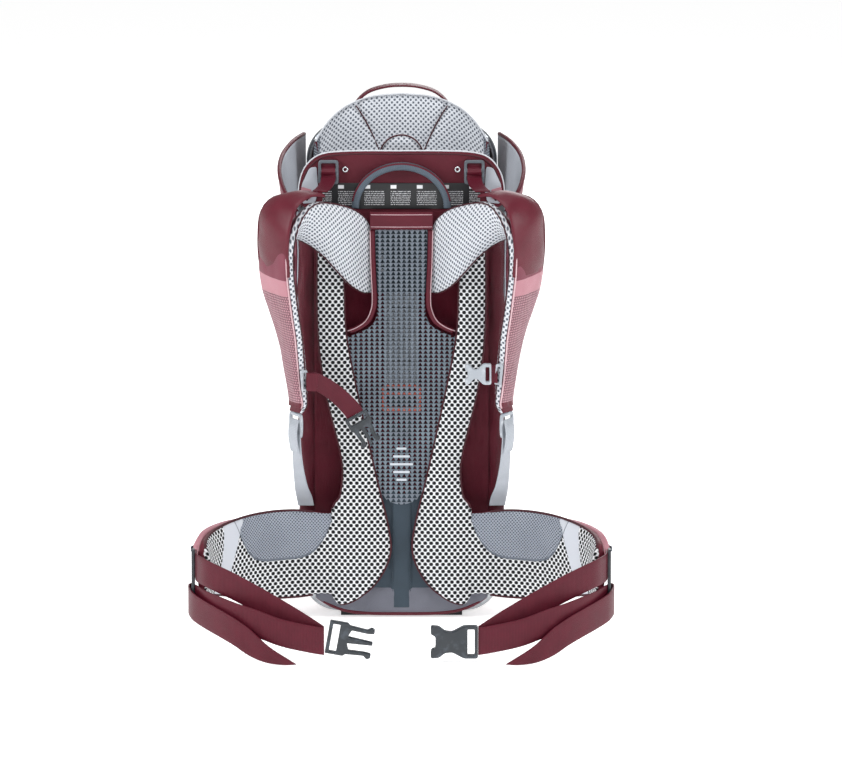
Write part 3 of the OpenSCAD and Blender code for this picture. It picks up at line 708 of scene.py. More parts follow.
def oblong(x0, z0, x1, z1, r, n=4):
    """A rounded rectangle from one corner to the other."""
    return rounded([(x0, z0), (x1, z0), (x1, z1), (x0, z1)], r, n)


def facing(cx, d, cz):
    """Stands a flat outline up, its face to the wearer."""
    return lambda co: P(cx + co.x, d - co.z, cz + co.y)


front = [(-128, 572)] + [(p.x, p.y) for p in through(
    [(-141, 580, 0), (-141, 606, 0), (-132, 632, 0), (-109, 650, 0), (-60, 654, 0), (0, 654, 0),
     (60, 654, 0), (109, 650, 0), (132, 632, 0), (141, 606, 0), (141, 580, 0)], 5)] + [
         (128, 572), (100, 548), (-100, 548)]
flat("front_board", [front], 6.0, 1.4, facing(0, -10.0, 0), maroon_cloth, "frame",
     ["cockpit_front_panel"])
rim = [(x * 0.995, -11.8, z - 0.6) for x, z in front[1:-4:3]]
cord("front_piping", rim, 1.3, piping_light, "frame", k=3)
cord("front_piping_dark", [(x * 0.975, -12.6, z - 4.2) for x, _, z in rim], 1.2, piping_dark,
     "frame", k=3)
for side, word in sides:
    corner = rounded([(side * 136, 580), (side * 137, 606), (side * 126, 630), (side * 116, 632),
                      (side * 114, 600), (side * 118, 582)], 4)
    flat("grey_corner_" + word, [corner], 1.6, 0.5, facing(0, -13.6, 0), light_cloth, "frame")
    patch = rounded([(side * 125, 586), (side * 139, 590), (side * 137, 604), (side * 123, 600)], 2)
    flat("pink_tab_" + word, [patch], 1.6, 0.5, facing(0, -15.0, 0), pink_cloth, "frame")
    circle = [(4.2 * math.cos(k * math.pi / 12), 4.2 * math.sin(k * math.pi / 12))
              for k in range(24)]
    inner = [(x * 0.5, y * 0.5) for x, y in circle]
    flat("eyelet_" + word, [circle, inner], 2.4, 0.8, facing(side * 77, -13.6, 628), steel_finish,
         "frame")
flat("front_lower_band", [rounded([(-104, 548), (104, 548), (112, 571), (-112, 571)], 3)], 2.0, 0.6,
     facing(0, -13.4, 0), maroon_cloth, "frame")

label_dark, w = start("label_print")
spot, (x, _, z) = place_of(w)
column = (x / 0.036 + 0.5)
cell = column.part()
line = (z / 0.0026).part()
text_rows = line.ease(0.45, 0.55) * (1 - line.ease(0.85, 0.95))
stretched = w.node("ShaderNodeVectorMath", {"operation": "MULTIPLY"}, {0: spot, 1: (700, 1, 380)})
broken = cloud(w, stretched, 1.0, 0.0).ease(0.42, 0.5)
inside = cell.ease(0.08, 0.1) * (1 - cell.ease(0.84, 0.86)) * (z - 0.577).ease(0.0, 0.0005) * (
    1 - (z - 0.599).ease(0.0, 0.0005))
head = cell.ease(0.08, 0.1) * (1 - cell.ease(0.3, 0.32)) * (z - 0.601).ease(0, 0.0005) * (
    1 - (z - 0.606).ease(0, 0.0005))
marks = text_rows * broken * inside * 0.75 + head
w.close(marks.blend(shade("101216"), shade("e6e8ec")), 0.45, marks, 0.0001)
flat("care_label", [oblong(-108, 573, 108, 609, 2)], 1.0, 0.3,
     facing(0, -13.6, 0), label_dark, "frame", ["label_patch"])

for side, word in sides:
    cx = side * 100
    frame_line = oblong(-14, -17, 14, 17, 5)
    top = oblong(-10, 4, 10, 12.5, 2)
    low = oblong(-10, -12, 10, 0, 2)
    flat("lifter_ring_" + word, [frame_line, top, low], 4.4, 1.2, facing(cx, -18.4, 625),
         grey_plastic, "frame", ["lifter_rings"])
    tape("lifter_anchor_" + word, [(cx, -14.6, 643), (cx, -15.4, 634), (cx, -20.9, 627.4),
                                   (cx, -21.4, 624), (cx, -16.4, 618)], [(1, 0, 0)] * 5, 19,
         maroon_tape, "frame", ["load_lifters"], t=1.8)
    lifter = tape("load_lifter_" + word,
                  on_side(side, ((100, -18.6, 621), (100, -22.2, 617), (102, -42, 613),
                                 (106, -62, 611), (111, -80, 610))),
                  [(1, side * 0.1, 0)] * 5, 20, maroon_tape, None, ["load_lifters"], t=1.9)
    P(cx, -26, 616)
    P(side * 108, -70, 611)
    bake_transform(lifter)

arch = []
for k in range(21):
    a = math.pi * (1 - k / 20)
    arch.append((63 * math.cos(a), -22.4, 577 + 57 * math.sin(a)))


def grab(u, v, run=through(arch, 3)):
    _, point, way = pointing(run, v)
    out = way.cross(Vector((0, 1, 0)))
    s, f = around(u, 3)
    return P(*(point + out * s * 5.2 + Vector((0, f * 8.2, 0))))


laid("front_handle", 28, 60, grab, [slate_cloth, dark_tape], "front_handle", ["front_grab_handle"],
     closed=True, ends=True, zone=lambda u, v: 1 if 0.12 < u < 0.38 or 0.62 < u < 0.88 else 0)
cord("front_handle_edge", [(x * 1.07, -28.5, 577 + (z - 577) * 1.07) for x, _, z in arch[1:-1]],
     1.5, maroon_tape, "front_handle", k=2)

# Sliding harness: the yoke board behind the net, the numbered strap that it
# climbs on, and the orange handle that the wearer pulls to set its height.

flat("yoke_board", [oblong(-39, 456, 39, 544, 9)], 3.4, 0.8,
     facing(0, -17.2, 0), slate_cloth, "harness", ["yoke_plate"])
wear("slide_rail", dark_plastic)
tape("slide_tape", [(0, -16.8, 330), (0, -17.0, 392), (0, -16.8, 455)], [(1, 0, 0)] * 3, 46,
     light_tape, "harness", ["slide_strap"], t=2.0)
for k in range(7):
    z = 345 + 15 * k
    flat("slide_mark_%d" % k, [oblong(-14, z, 14, z + 1.6, 0.6)],
         0.6, 0.2, facing(0, -18.2, 0), dark_plastic, "harness")
for side, word in sides:
    for k in range(4):
        z = 486 + 9 * k
        flat("height_mark_%s_%d" % (word, k),
             [oblong(side * 22, z, side * 31, z + 3.4, 1)], 0.8, 0.3, facing(0, -19.4, 0),
             light_plastic, "harness")
handle = oblong(-27, -20, 27, 20, 7)
grip = oblong(-20, -11, 20, 5, 3)
bar = oblong(-20, 9, 20, 15, 2)
flat("slide_pull", [handle, grip, bar], 5.6, 1.6, facing(0, -20.4, 308), orange_plastic, "harness",
     ["slide_handle"])

emblem, w = start("net_emblem")
w.close(shade("c9ced6"), 0.5)
for k in range(5):
    z = 238 - 11 * k
    half = 16 - abs(k - 2) * 4.5
    bar = oblong(-half, z, half, z + 3.2, 1.2)
    flat("net_mark_%d" % k, [bar], 0.6, 0.2, facing(0, -29.4, 0), emblem, "frame")

# Shoulder straps: shaped foam, small-dot mesh against the wearer, satin over
# the top of the shoulder and a textured cover down the front, edged in pink.

strap_in = [(41, -17.5, 545), (50.4, -26, 562), (67.6, -43, 578), (92, -66, 590),
            (113, -92, 597), (128, -112, 592), (142, -126, 571), (149, -130, 540),
            (149.5, -127, 507), (146.5, -122, 475), (142.8, -119, 445), (138.5, -116, 415),
            (136.6, -111.2, 390), (134.5, -105.8, 362), (132.4, -100.6, 335), (131, -97, 316),
            (137, -88, 302)]
strap_out = [(41, -17.5, 457), (53.8, -27, 459), (71, -42, 472), (91, -56, 496),
             (110, -64, 520), (131, -68, 538), (154, -69, 547), (177, -65, 540),
             (188, -61, 512), (185, -57, 476), (176, -56, 447), (166, -56, 418),
             (159, -56.5, 391), (153.5, -58, 361), (149.5, -60, 333), (148.5, -62, 314),
             (152, -63, 301)]
strap_foam = 18
strap_thick = [0.35, 0.5, 0.8, 1, 1, 1, 1, 1, 1, 1, 1, 1, 0.97, 0.93, 0.85, 0.65, 0.45]


def rails(a, b, t, side, k=6):
    """Both edges, the thickness and the outward normal along a padded strap."""
    run_a, run_b = ([Vector(p) for p in on_side(side, through(edge, k))] for edge in (a, b))
    thick = numbers(t, k)
    last, normals = len(run_a) - 1, []
    for i in range(last + 1):
        lo, hi = max(i - 1, 0), min(i + 1, last)
        way = run_a[hi] - run_a[lo] + run_b[hi] - run_b[lo]
        normals.append(side * way.cross(run_b[i] - run_a[i]).normalized())
    return run_a, run_b, thick, normals


def station(run, v):
    """Edges, thickness and normal at v from 0 to 1 of a run made by rails()."""
    f = v * (len(run[0]) - 1)
    i = min(int(f), len(run[0]) - 2)
    f -= i
    return [run[k][i] * (1 - f) + run[k][i + 1] * f for k in range(4)]


for side, word in sides:
    run = rails(strap_in, strap_out, [t * strap_foam for t in strap_thick], side)
    def foam(u, v, run=run):
        a, b, t, n = station(run, v)
        s, f = around(u, 3.2)
        crown = 1.6 * (1 - s * s) * f if f > 0 else 0
        return P(*((a + b) / 2 + (b - a) / 2 * s + n.normalized() * (t / 2 * f + crown)))
    strap = laid("shoulder_strap_" + word, 56, 192, foam, [small_mesh, maroon_sewn, dusty_cloth],
                 "harness", ["shoulder_strap_" + word], closed=True, ends=True, middle=0.75,
                 zone=lambda u, v: (2 if v < 0.62 else 1) if 0.06 < u < 0.44 and v > 0.2 else 0)
    def skin(u, v, run=run, low=0.44, high=0.96):
        v = low + (high - low) * v
        a, b, t, n = station(run, v)
        s = (2 * u - 1) * 0.93
        ruck = 1.1 * noise.noise(Vector((s * 2.2, v * 26, side * 4.0))) * (1 - s * s)
        lift = t / 2 * (1 - abs(s) ** 3.2) ** (1 / 3.2) + 1.6 * (1 - s * s) + 1.2 + ruck
        return P(*((a + b) / 2 + (b - a) / 2 * s * 1.02 + n.normalized() * lift))
    cover = laid("strap_cover_" + word, 30, 120, skin,
                 [dusty_cloth, pink_cloth, textured_pink, maroon_sewn], "harness",
                 ["strap_covers"],
                 zone=lambda u, v: 0 if v < 0.16 else 1 if v < 0.245 else 3 if v > 0.93 else 2)
    thicken(cover, 0.0016, 1.0)
    flap_in = through(on_side(side, (
        (104, -84, 604), (124, -104, 607), (142, -124, 596), (151, -134, 568), (154, -135, 540),
        (153.5, -132.5, 518), (152.5, -131, 500))), 12)
    flap_out = through(on_side(side, (
        (128, -70, 596), (148, -72, 604), (174, -76, 601), (191, -74, 582), (195, -70, 552),
        (195, -66, 524), (192.5, -64, 500))), 12)
    def flap(u, v, a=flap_in, b=flap_out, side=side):
        i, point, way = pointing(a, v)
        out = side * way.cross(b[i] - point).normalized()
        fold = 1.6 * noise.noise(Vector((u * 2.0, v * 5.0, side * 7.0)))
        return P(*(point.lerp(b[i], u) + out * (7 * math.sin(math.pi * u) ** 0.7 + fold - 1)))
    flap_piece = laid("shoulder_flap_" + word, 24, 72, flap, [flap_cloth], "harness")
    thicken(flap_piece, 0.0022)
    cord("flap_piping_" + word, flap_out[::8], 1.6, maroon_tape, "harness", k=2)
    for edge, finish_with, s in (("in", piping_pink, -0.93), ("out", piping_pink, 0.95)):
        line = []
        for k in range(40):
            v = 0.44 + 0.52 * k / 39
            a, b, t, n = station(run, v)
            lift = t / 2 * (1 - abs(s) ** 3.2) ** (1 / 3.2) + 1.4
            line.append((a + b) / 2 + (b - a) / 2 * s * 1.03 + n.normalized() * lift)
        cord("cover_piping_%s_%s" % (edge, word), line, 1.2, finish_with, "harness", k=2)
    for edge, s in (("in", -1.0), ("out", 1.0)):
        line = []
        for k in range(80):
            a, b, t, n = station(run, 0.03 + 0.94 * k / 79)
            line.append((a + b) / 2 + (b - a) / 2 * s * 1.01 - n.normalized() * t * 0.2)
        cord("strap_edge_%s_%s" % (edge, word), line, 1.0, piping_dark, "harness", k=2)

# Strap ends: a grey ladder-lock on each strap takes a tape from the lumbar
# corner, so that pulling the tape's tail draws the pack in.

for side, word in sides:
    turned = math.radians(60)
    def lock_turn(co, side=side):
        x, y = co.x * math.cos(turned) + co.z * math.sin(turned), (
            co.x * math.sin(turned) - co.z * math.cos(turned))
        return P(side * (144.5 + x), -75 + y, 283.4 + co.y)
    outline = rounded([(-14, -17), (14, -17), (16.5, -6), (16.5, 8), (15, 17), (-15, 17),
                       (-16.5, 8), (-16.5, -6)], 4)
    low = oblong(-12.5, -11, 12.5, -3, 1.6)
    high = oblong(-12.5, 4, 12.5, 12.5, 1.6)
    flat("ladder_lock_" + word, [outline, low, high], 5.0, 1.4, lock_turn, light_plastic, "harness",
         ["ladder_locks"])
    lower = tape("lower_tape_" + word,
                 on_side(side, ((146.5, -71, 291), (144.2, -74.5, 280), (144.2, -74.5, 265.4),
                                (142.5, -60, 228), (138.5, -36, 190), (134, -18, 168),
                                (132, -13.9, 156))),
                 on_side(side, ((0.5, 0.87, 0), (0.5, 0.87, 0), (0.5, 0.87, 0), (0.6, 0.8, 0),
                                (0.8, 0.6, 0), (1, 0.15, 0), (1, 0, 0))),
                 22, light_tape, None, ["lower_webbings"], t=1.8)
    P(side * 144, -74, 262)
    P(side * 134, -18, 168)
    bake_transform(lower)
    tape("lower_tail_" + word,
         on_side(side, ((146, -78, 292), (148.5, -84, 282), (149, -85, 268), (147.5, -82, 255),
                        (146, -79, 246))),
         [(side * 0.5, 0.87, 0)] * 5, 23, light_tape, "harness", t=1.6)

# Chest strap: a tape that runs on a slider up each strap's edge, maroon with
# the male half on the left, and the grey female half on the right.


def slider(side, z):
    k = (z - 316) / 99
    x, d = 131 + 7.5 * k - 1.1, -97 - 19 * k - 2.74
    def turn(co):
        c, s = math.cos(math.radians(-22.6)), math.sin(math.radians(-22.6))
        y = -co.z
        return P(side * (x + co.x * c - y * s + co.y * 0.075), d + co.x * s + y * c - co.y * 0.19,
                 z + co.y)
    return turn


for side, word, z, end in ((-1, "left", 352, "chest_left"), (1, "right", 361, "chest_right")):
    outline = oblong(-5, -15, 5, 15, 2.4)
    slot_line = oblong(-2.2, -11, 1.6, 11, 1)
    flat("chest_slider_" + word, [outline, slot_line], 4.4, 1.1, slider(side, z), light_plastic,
         end, ["chest_strap_" + word])
tape("chest_tape_left", [(-130, -109.4, 351), (-124, -108.2, 350.2), (-114.5, -106.5, 349.5),
                         (-91.8, -90, 331.5), (-72, -74, 309), (-63.7, -66, 296)],
     [(0, 0, 1), (0, 0, 1), (0.1, 0, 1), (0.4, 0, 0.9), (0.7, 0, 0.7), (0.875, 0, 0.485)], 25,
     maroon_tape, "chest_left", t=2.0)
tape("chest_loop_left", [(-129, -110.8, 351), (-122, -110.4, 350.4), (-114, -108.8, 349.6)],
     [(0, 0, 1), (0, 0, 1), (0.1, 0, 1)], 25, maroon_tape, "chest_left", t=2.0)
tape("chest_tape_right", [(131, -109.6, 361), (127.6, -107.1, 361), (123.9, -106.7, 361),
                          (121, -106.6, 361)], [(0, 0, 1)] * 4, 24, maroon_tape, "chest_right")


def mirrored(half):
    """A whole outline from its upper half, given from one end to the other."""
    return half + [(x, -y) for x, y in reversed(half)]


def male_half(w, l):
    """Outline of a side-release buckle's male half with its tape slot, prongs towards +X."""
    body = mirrored([(-l * 0.5, w / 2 + 4), (-l * 0.1, w / 2 + 4), (-l * 0.06, w / 2 + 1),
                     (l * 0.34, w / 2 - 1), (l * 0.42, w / 2 + 3), (l * 0.5, w / 2 + 1),
                     (l * 0.5, w / 2 - 5), (l * 0.36, w / 2 - 6), (l * 0.0, w / 2 - 5),
                     (-l * 0.06, w * 0.12), (l * 0.5, w * 0.06)])
    return [rounded(body, 1.6), oblong(-l * 0.42, -w / 2, -l * 0.26, w / 2, 1.4)]


def female_half(w, l):
    """Outline of the female half, waisted so that the prongs' arms show at both sides."""
    body = mirrored([(-l * 0.5, w / 2 + 3.5), (-l * 0.2, w / 2 + 3.5), (-l * 0.1, w / 2),
                     (l * 0.04, w / 2 - 5), (l * 0.2, w / 2 - 4), (l * 0.32, w / 2 + 2.5),
                     (l * 0.5, w / 2 + 3.5), (l * 0.5, w * 0.28), (l * 0.4, w * 0.22)])
    return [rounded(body, 3.2), oblong(-l * 0.43, -w / 2 + 1, -l * 0.28, w / 2 - 1, 1.4)]


def angled(cx, d, cz, degrees, flip=1):
    c, s = math.cos(math.radians(degrees)), math.sin(math.radians(degrees))
    return lambda co: P(cx + flip * (co.x * c + co.y * s), d - co.z, cz - co.x * s + co.y * c)


flat("chest_male", male_half(25, 46), 6.4, 0.9, angled(-52, -66, 275, 61), dark_plastic,
     "chest_left", ["chest_buckle_male"])
flat("chest_female", female_half(22, 36), 8.4, 1.2, angled(105, -106.5, 361, 0, -1), light_plastic,
     "chest_right", ["chest_buckle_female"])

# Hip wings: foam fins sewn to the lumbar pads, large-hole mesh inside with a
# finer grey inset above, a maroon shell outside, and a zipped pocket on each.

wing_centre, wing_radius = (110, -184.4), 160
wing_line = numbers([0, 15, 35, 60, 85, 92]), numbers([34, 30, 34, 50, 68, 78]), numbers(
    [148, 153, 153, 148, 142, 134])


def on_line(lists, v):
    f = v * (len(lists[0]) - 1)
    i = min(int(f), len(lists[0]) - 2)
    return [row[i] + (row[i + 1] - row[i]) * (f - i) for row in lists]


def on_arc(r, degrees):
    a = math.radians(degrees)
    return wing_centre[0] + r * math.sin(a), wing_centre[1] + r * math.cos(a)


for side, word in sides:
    def fin(u, v, side=side):
        s, f = around(u, 3.0)
        if v < 0.1:
            x, low, high, r = 82 + 28 * v / 0.1, 31 + 30 * v, 147 + 10 * v, None
            d = -24.4 + f * (8 + 15 * v)
        else:
            angle, low, high = on_line(wing_line, (v - 0.1) / 0.9)
            end = min(1, (1.001 - v) / 0.03) ** 0.5
            low, high = low + 8 * (1 - end), high - 8 * (1 - end)
            crown = 2.2 * (1 - s * s) if f < 0 else 0
            length = 28 + math.radians(angle) * wing_radius
            z = (low + high) / 2 + (high - low) / 2 * s
            step = 5 + (abs((length - 86) / 74)) ** 4 * 60 + 82 - z
            dip = 2.4 * math.exp(-(step / 6) ** 2) - 1.2 * (step < 0) if f < 0 else 0
            x, d = on_arc(wing_radius + f * 8 * end - crown + dip, angle)
        return P(side * x, d, (low + high) / 2 + (high - low) / 2 * s)
    def inside(u, v):
        return 0 if 0.52 < u < 0.98 else 1
    wing = laid("hip_wing_" + word, 60, 130, fin, [wing_mesh, maroon_sewn], None,
                ["hip_wing_" + word], closed=True, ends=True, zone=inside, middle=0.75)
    layer = wing.data.uv_layers["cloth"].data
    for loop in wing.data.loops:
        co = wing.data.vertices[loop.vertex_index].co
        layer[loop.index].uv = (layer[loop.index].uv[1] + 0.082, co.z)
    P(side * 98, -24, 90)
    P(side * 116, -24, 90)
    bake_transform(wing)
    top, bottom = [], []
    for k in range(25):
        v = 0.17 + 0.8 * k / 24
        angle, low, high = on_line(wing_line, (v - 0.1) / 0.9)
        x, d = on_arc(wing_radius - 3, angle)
        top.append((side * x, d, high + 0.2))
        bottom.append((side * x, d, low))
    cord("wing_top_piping_" + word, top, 1.8, piping_dark, "hip_" + word, k=2)
    cord("wing_low_piping_" + word, bottom, 1.5, piping_dark, "hip_" + word, k=2)

    pocket_line = (numbers([20, 26, 45, 64, 70]), numbers([70, 58, 56, 64, 78]),
                   numbers([128, 141, 145, 140, 126]))
    def pouch(u, v, side=side):
        s, f = around(u, 2.6)
        angle, low, high = on_line(pocket_line, v)
        end = (1 - abs(2 * v - 1) ** 5) ** 0.5
        ruck = 1.5 * noise.noise(Vector((v * 7, s * 2.5, side * 2.0)))
        r = 179.4 + (11 * f * (0.35 + 0.65 * end) + (ruck if f > 0 else 0))
        x, d = on_arc(r, angle)
        return P(side * x, d, (low + high) / 2 + (high - low) / 2 * s)
    pouch_piece = laid("hip_pocket_" + word, 48, 60, pouch, [maroon_sewn, pink_cloth],
                       "hip_" + word, ["hip_pocket_" + word], closed=True, ends=True, middle=0.25,
                       zone=lambda u, v: 1 if around(u, 2.6)[0] > 0.72 else 0)
    zip_line = []
    for k in range(15):
        angle, low, high = on_line(pocket_line, 0.06 + 0.88 * k / 14)
        x, d = on_arc(190.8, angle)
        zip_line.append((side * x, d, 118))
    tape("pocket_zip_" + word, zip_line, [(0, 0, 1)] * 15, 7, dark_tape, "hip_" + word, t=1.4, k=2)
    wear("hip_zip_" + word, steel_finish)
wear("base_zip_slider", steel_finish)

# Hip belt: maroon tape from each wing tip through its buckle half and back
# through a tri-glide, the long tail hanging below.

belt = 279.4
first = [(belt + 0.2, -166, 110), (belt + 0.2, -192, 111), (belt - 5, -211, 111),
         (belt - 20, -232, 108), (222, -255, 95), (178, -271, 74), (134, -279, 49),
         (104.4, -282.2, 30)]
back = [(104.4, -286.4, 29), (124, -289.5, 33), (162, -291, 42), (198, -284, 54), (222, -272, 59),
        (248, -250, 64), (266, -226, 66), (belt - 4, -206, 67), (belt + 2.5, -188, 66),
        (belt + 4.5, -177, 65), (belt + 7.5, -172, 64), (belt + 10.5, -177, 63),
        (belt + 9, -192, 61.5), (belt + 2, -212, 58), (264, -238, 53), (244, -261, 47),
        (226, -277, 40), (208, -288, 30), (190, -297, 21), (172, -303, 15), (158, -307, 12)]
for side, word in sides:
    tape("hip_tape_" + word, on_side(side, first), [(0, 0, 1)] * 8, 38,
         maroon_tape, "hip_" + word, ["hip_strap_" + word], t=2.0)
    widths = [(0, 0, 1)] * 18 + [(side * 0.3, 0.1, 0.95), (side * 0.65, 0.1, 0.75),
                                 (side * 0.85, 0.1, 0.5)]
    tape("hip_tail_" + word, on_side(side, back), widths, 38, maroon_tape,
         "hip_" + word, t=2.0, k=6)
    def ring_turn(co, side=side):
        return P(side * (belt + 4.2 + co.z), -188 + co.x, 88 + co.y)
    outline = oblong(-7, -47, 7, 47, 3)
    hole_a = oblong(-3.6, -41, 3.6, -2, 1.5)
    hole_b = oblong(-3.6, 2, 3.6, 41, 1.5)
    flat("tri_glide_" + word, [outline, hole_a, hole_b], 4.6, 1.2, ring_turn, dark_plastic,
         "hip_" + word)
flat("hip_male", male_half(38, 62), 8.6, 1.3, angled(-69.2, -284, 30.4, 10), dark_plastic,
     "hip_left", ["hip_buckle_male"])
flat("hip_female", female_half(38, 64), 12, 1.6, angled(72, -284, 28, 0, -1), dark_plastic,
     "hip_right", ["hip_buckle_female"])

# Headrest: a curved foam dome behind the child's head, dot mesh in front with
# two dart seams, darker mesh gussets at its sides and a maroon shell behind.

head_line = (numbers([0, 45, 80, 104, 120], 6), numbers([252.5, 250, 241, 223, 201], 6),
             numbers([500, 500, 500, 502, 506], 6), numbers([686, 682, 669, 650, 628], 6))
dart = through([(64, 0, 671), (52, 0, 652), (40, 0, 628), (31, 0, 606), (26, 0, 590)], 4)


def dart_gap(x, z):
    return min((Vector((abs(x), 0, z)) - p).length for p in dart)


def dome(u, v):
    w = 2 * v - 1
    x, d, low, high = on_line(head_line, abs(w))
    x = math.copysign(x, w) if w else 0
    s, f = around(u, 2.8)
    end = (1 - abs(w) ** 9) ** 0.5
    z = (low + high) / 2 + (high - low) / 2 * s
    crown = 7.0 * (1 - s * s) * (1 - w * w) if f < 0 else 0
    sink = 3.6 * math.exp(-(dart_gap(x, z) / 5) ** 2) if f < -0.2 else 0
    lean = 0.55 * abs(w) ** 2
    return P(x - math.copysign(lean, w) * 6 * f,
             d + f * (7.5 * max(end, 0.25)) - crown + sink, z)


def dome_zone(u, v):
    s, f = around(u, 2.8)
    if f > 0.15 or abs(s) > 0.985:
        return 2
    return 1 if abs(2 * v - 1) > 0.86 else 0


head = laid("headrest", 72, 140, dome, [head_mesh, gusset_mesh, maroon_sewn], "frame", ["headrest"],
            closed=True, ends=True, zone=dome_zone, middle=0.75)
for side, word in sides:
    line = []
    for p in dart[:-2]:
        share = p.x / 120
        reached = max(k for k in range(101) if on_line(head_line, k / 100)[0] <= p.x) / 100
        x, d, low, high = on_line(head_line, reached)
        s = (p.z - (low + high) / 2) / ((high - low) / 2)
        line.append((side * p.x, d - 7.5 - 7 * (1 - s * s) * (1 - share ** 2) + 2.6, p.z))
    cord("dart_seam_" + word, line, 0.9, piping_dark, "frame", k=2)
rim = []
for k in range(41):
    w = 2 * k / 40 - 1
    x, d, low, high = on_line(head_line, abs(w))
    rim.append((math.copysign(x, w), d - 4.5, high + 0.4))
cord("headrest_piping", rim, 1.3, piping_light, "frame", k=2)

# Cockpit sides: two-faced wings between the front board and the rear hoop,
# light grey towards the child, dusty maroon outside, piped along the top.

wing_low = through([(143.6, 2, 402), (142, 40, 397.5), (139.5, 90, 397), (138.5, 150, 397),
                    (138, 210, 399), (136.8, 263, 408)], 6)
wing_high = through([(143.6, 2, 566), (162, 40, 590), (169, 90, 607), (165, 150, 619),
                     (152, 210, 626), (136.8, 263, 627)], 6)
for side, word in sides:
    def drape(u, v, side=side):
        p = at(wing_low, v).lerp(at(wing_high, v), u)
        fold = 3.0 * noise.noise(Vector((u * 2.5, v * 5, side * 2.0))) * math.sin(math.pi * u)
        return P(side * (p.x + fold), p.y, p.z)
    for layer_name, push, cloth_used in (("outer", 1.4, dusty_cloth), ("inner", -1.4, light_cloth)):
        def where(u, v, push=push, drape=drape, side=side):
            return drape(u, v) + Vector((side * push * 0.001, 0, 0))
        wing = thicken(laid("side_%s_%s" % (layer_name, word), 40, 70, where, [cloth_used], "frame",
                            ["side_wing_" + word]), 0.0022)
    cord("side_piping_" + word, on_side(side, wing_high[::2]), 3.0, maroon_tape,
         "frame", k=2)
    band = [(side * (a.lerp(b, 0.55).x + 3.4), a.y, a.lerp(b, 0.55).z)
            for a, b in list(zip(wing_low, wing_high))[::3]]
    tape("side_band_" + word, band, [(0, 0, 1)] * len(band), 20, maroon_tape, "frame", t=1.6, k=2)

# Chin pad: a dotted foam tongue on the front board for the child's chin.


def chin(u, v):
    s, f = around(u, 3)
    z = 560 + 112 * v
    half = 30 * (1 - max(0, (z - 642) / 30.6) ** 2) ** 0.5
    end = max(0.2, min(1, (1.02 - v) * 12) ** 0.5)
    return P(half * s, 13.6 + f * 5.6 * end, z)


laid("chin_pad", 40, 60, chin, [head_mesh], "frame", ["chin_pad"], closed=True, ends=True,
               middle=0.75)

cord("chin_piping", [(-29.6, 8.6, 600), (-29.8, 8.6, 640)]
     + [(29.8 * math.cos(a), 8.6, 642 + 30 * math.sin(a)) for a in
        [math.pi * (1 - k / 10) for k in range(1, 10)]] + [(29.8, 8.6, 640), (29.6, 8.6, 600)],
     1.1, piping_dark, "frame", k=3)

# Child's back panel, rear cover and seat: a padded panel hung on the hoop, a
# maroon cover laced behind it, and a sling seat whose height slides.


def child_panel(u, v):
    w = 2 * v - 1
    s, f = around(u, 3.2)
    x = 116 * w
    d = 265.8 - 12 * abs(w) ** 3
    z = 348 + 151 * s
    quilt = 1.6 * abs(math.sin(math.pi * (z - 196) / 76)) ** 0.5 if f < 0 else 0
    end = (1 - abs(w) ** 12) ** 0.5
    return P(x, min(d + f * 6 * max(end, 0.3) - quilt * end, 270), z)


panel = laid("child_back_panel", 64, 80, child_panel, [light_cloth, maroon_sewn], "frame",
             ["rear_panel"], closed=True, ends=True, middle=0.75,
             zone=lambda u, v: 0 if u > 0.5 else 1)


cover_line = through([(118, 236, 0), (128, 250, 0), (130, 420, 0), (128, 590, 0), (112, 622, 0),
                      (80, 632, 0)], 6)


def back_cover(u, v):
    z = 236 + 396 * v
    half = edge_at(cover_line, z) if z > 237 else 118
    x = (2 * u - 1) * half
    belly = 6.5 * (1 - (2 * u - 1) ** 4) * math.sin(math.pi * v) ** 0.6
    fold = 3.2 * noise.noise(Vector((x * 0.02, z * 0.016, 4)))
    return P(x, 273 + belly + fold * (1 - (2 * u - 1) ** 4), z)


cover = thicken(laid("rear_cover", 60, 90, back_cover, [satin], "frame", ["rear_cover"]), 0.0026)
cord("rear_cover_piping", [(-p.x, 274.6, p.y) for p in cover_line[::2]]
     + [(p.x, 274.6, p.y) for p in cover_line[::-2]], 2.2, piping_pink, "frame", k=2)


def rear_pocket(u, v):
    z = 262 + 150 * v
    x = (2 * u - 1) * (98 + 6 * v)
    edge = (1 - (2 * u - 1) ** 6) * (1 - (1 - v) ** 6) * min(1, (1.04 - v) * 14)
    return P(x, 277 + 2 + 9 * edge * (0.75 + 0.25 * math.sin(math.pi * v)), z)


pocket = thicken(laid("rear_pocket", 50, 50, rear_pocket, [dusty_cloth], "frame"), 0.0022)
cord("rear_pocket_hem", [(x, 281 - 0.0002 * x * x, 412) for x in range(-102, 103, 17)], 2.4,
     maroon_tape, "frame", k=2)


def on_cover(x, z, out):
    half = edge_at(cover_line, z)
    return (x, back_cover((x / half + 1) / 2, (z - 236) / 396).y * 1000 - frame_plane + out,
            z)


for k, z in enumerate((470, 520)):
    tape("rear_tape_%d" % k, [on_cover(x, z, 3.4) for x in range(-112, 113, 14)],
         [(0, 0, 1)] * 17, 16, maroon_tape, "frame", t=1.6, k=2)
    for x in (-70, -35, 0, 35, 70):
        cord("rear_tack_%d_%d" % (k, x + 70), [on_cover(x, z + rise, 4.6) for rise in (-8, 0, 8)],
             0.9, piping_pink, "frame", k=2)


sling_line = through([(0, -6.7, 404), (0, -6.7, 390), (0, -6.7, 376), (0, -0.7, 354), (0, 8, 334),
                      (0, 27, 314), (0, 60, 299), (0, 110, 292), (0, 170, 293), (0, 215, 302),
                      (0, 245, 322), (0, 254.2, 348), (0, 254.2, 368)], 4)


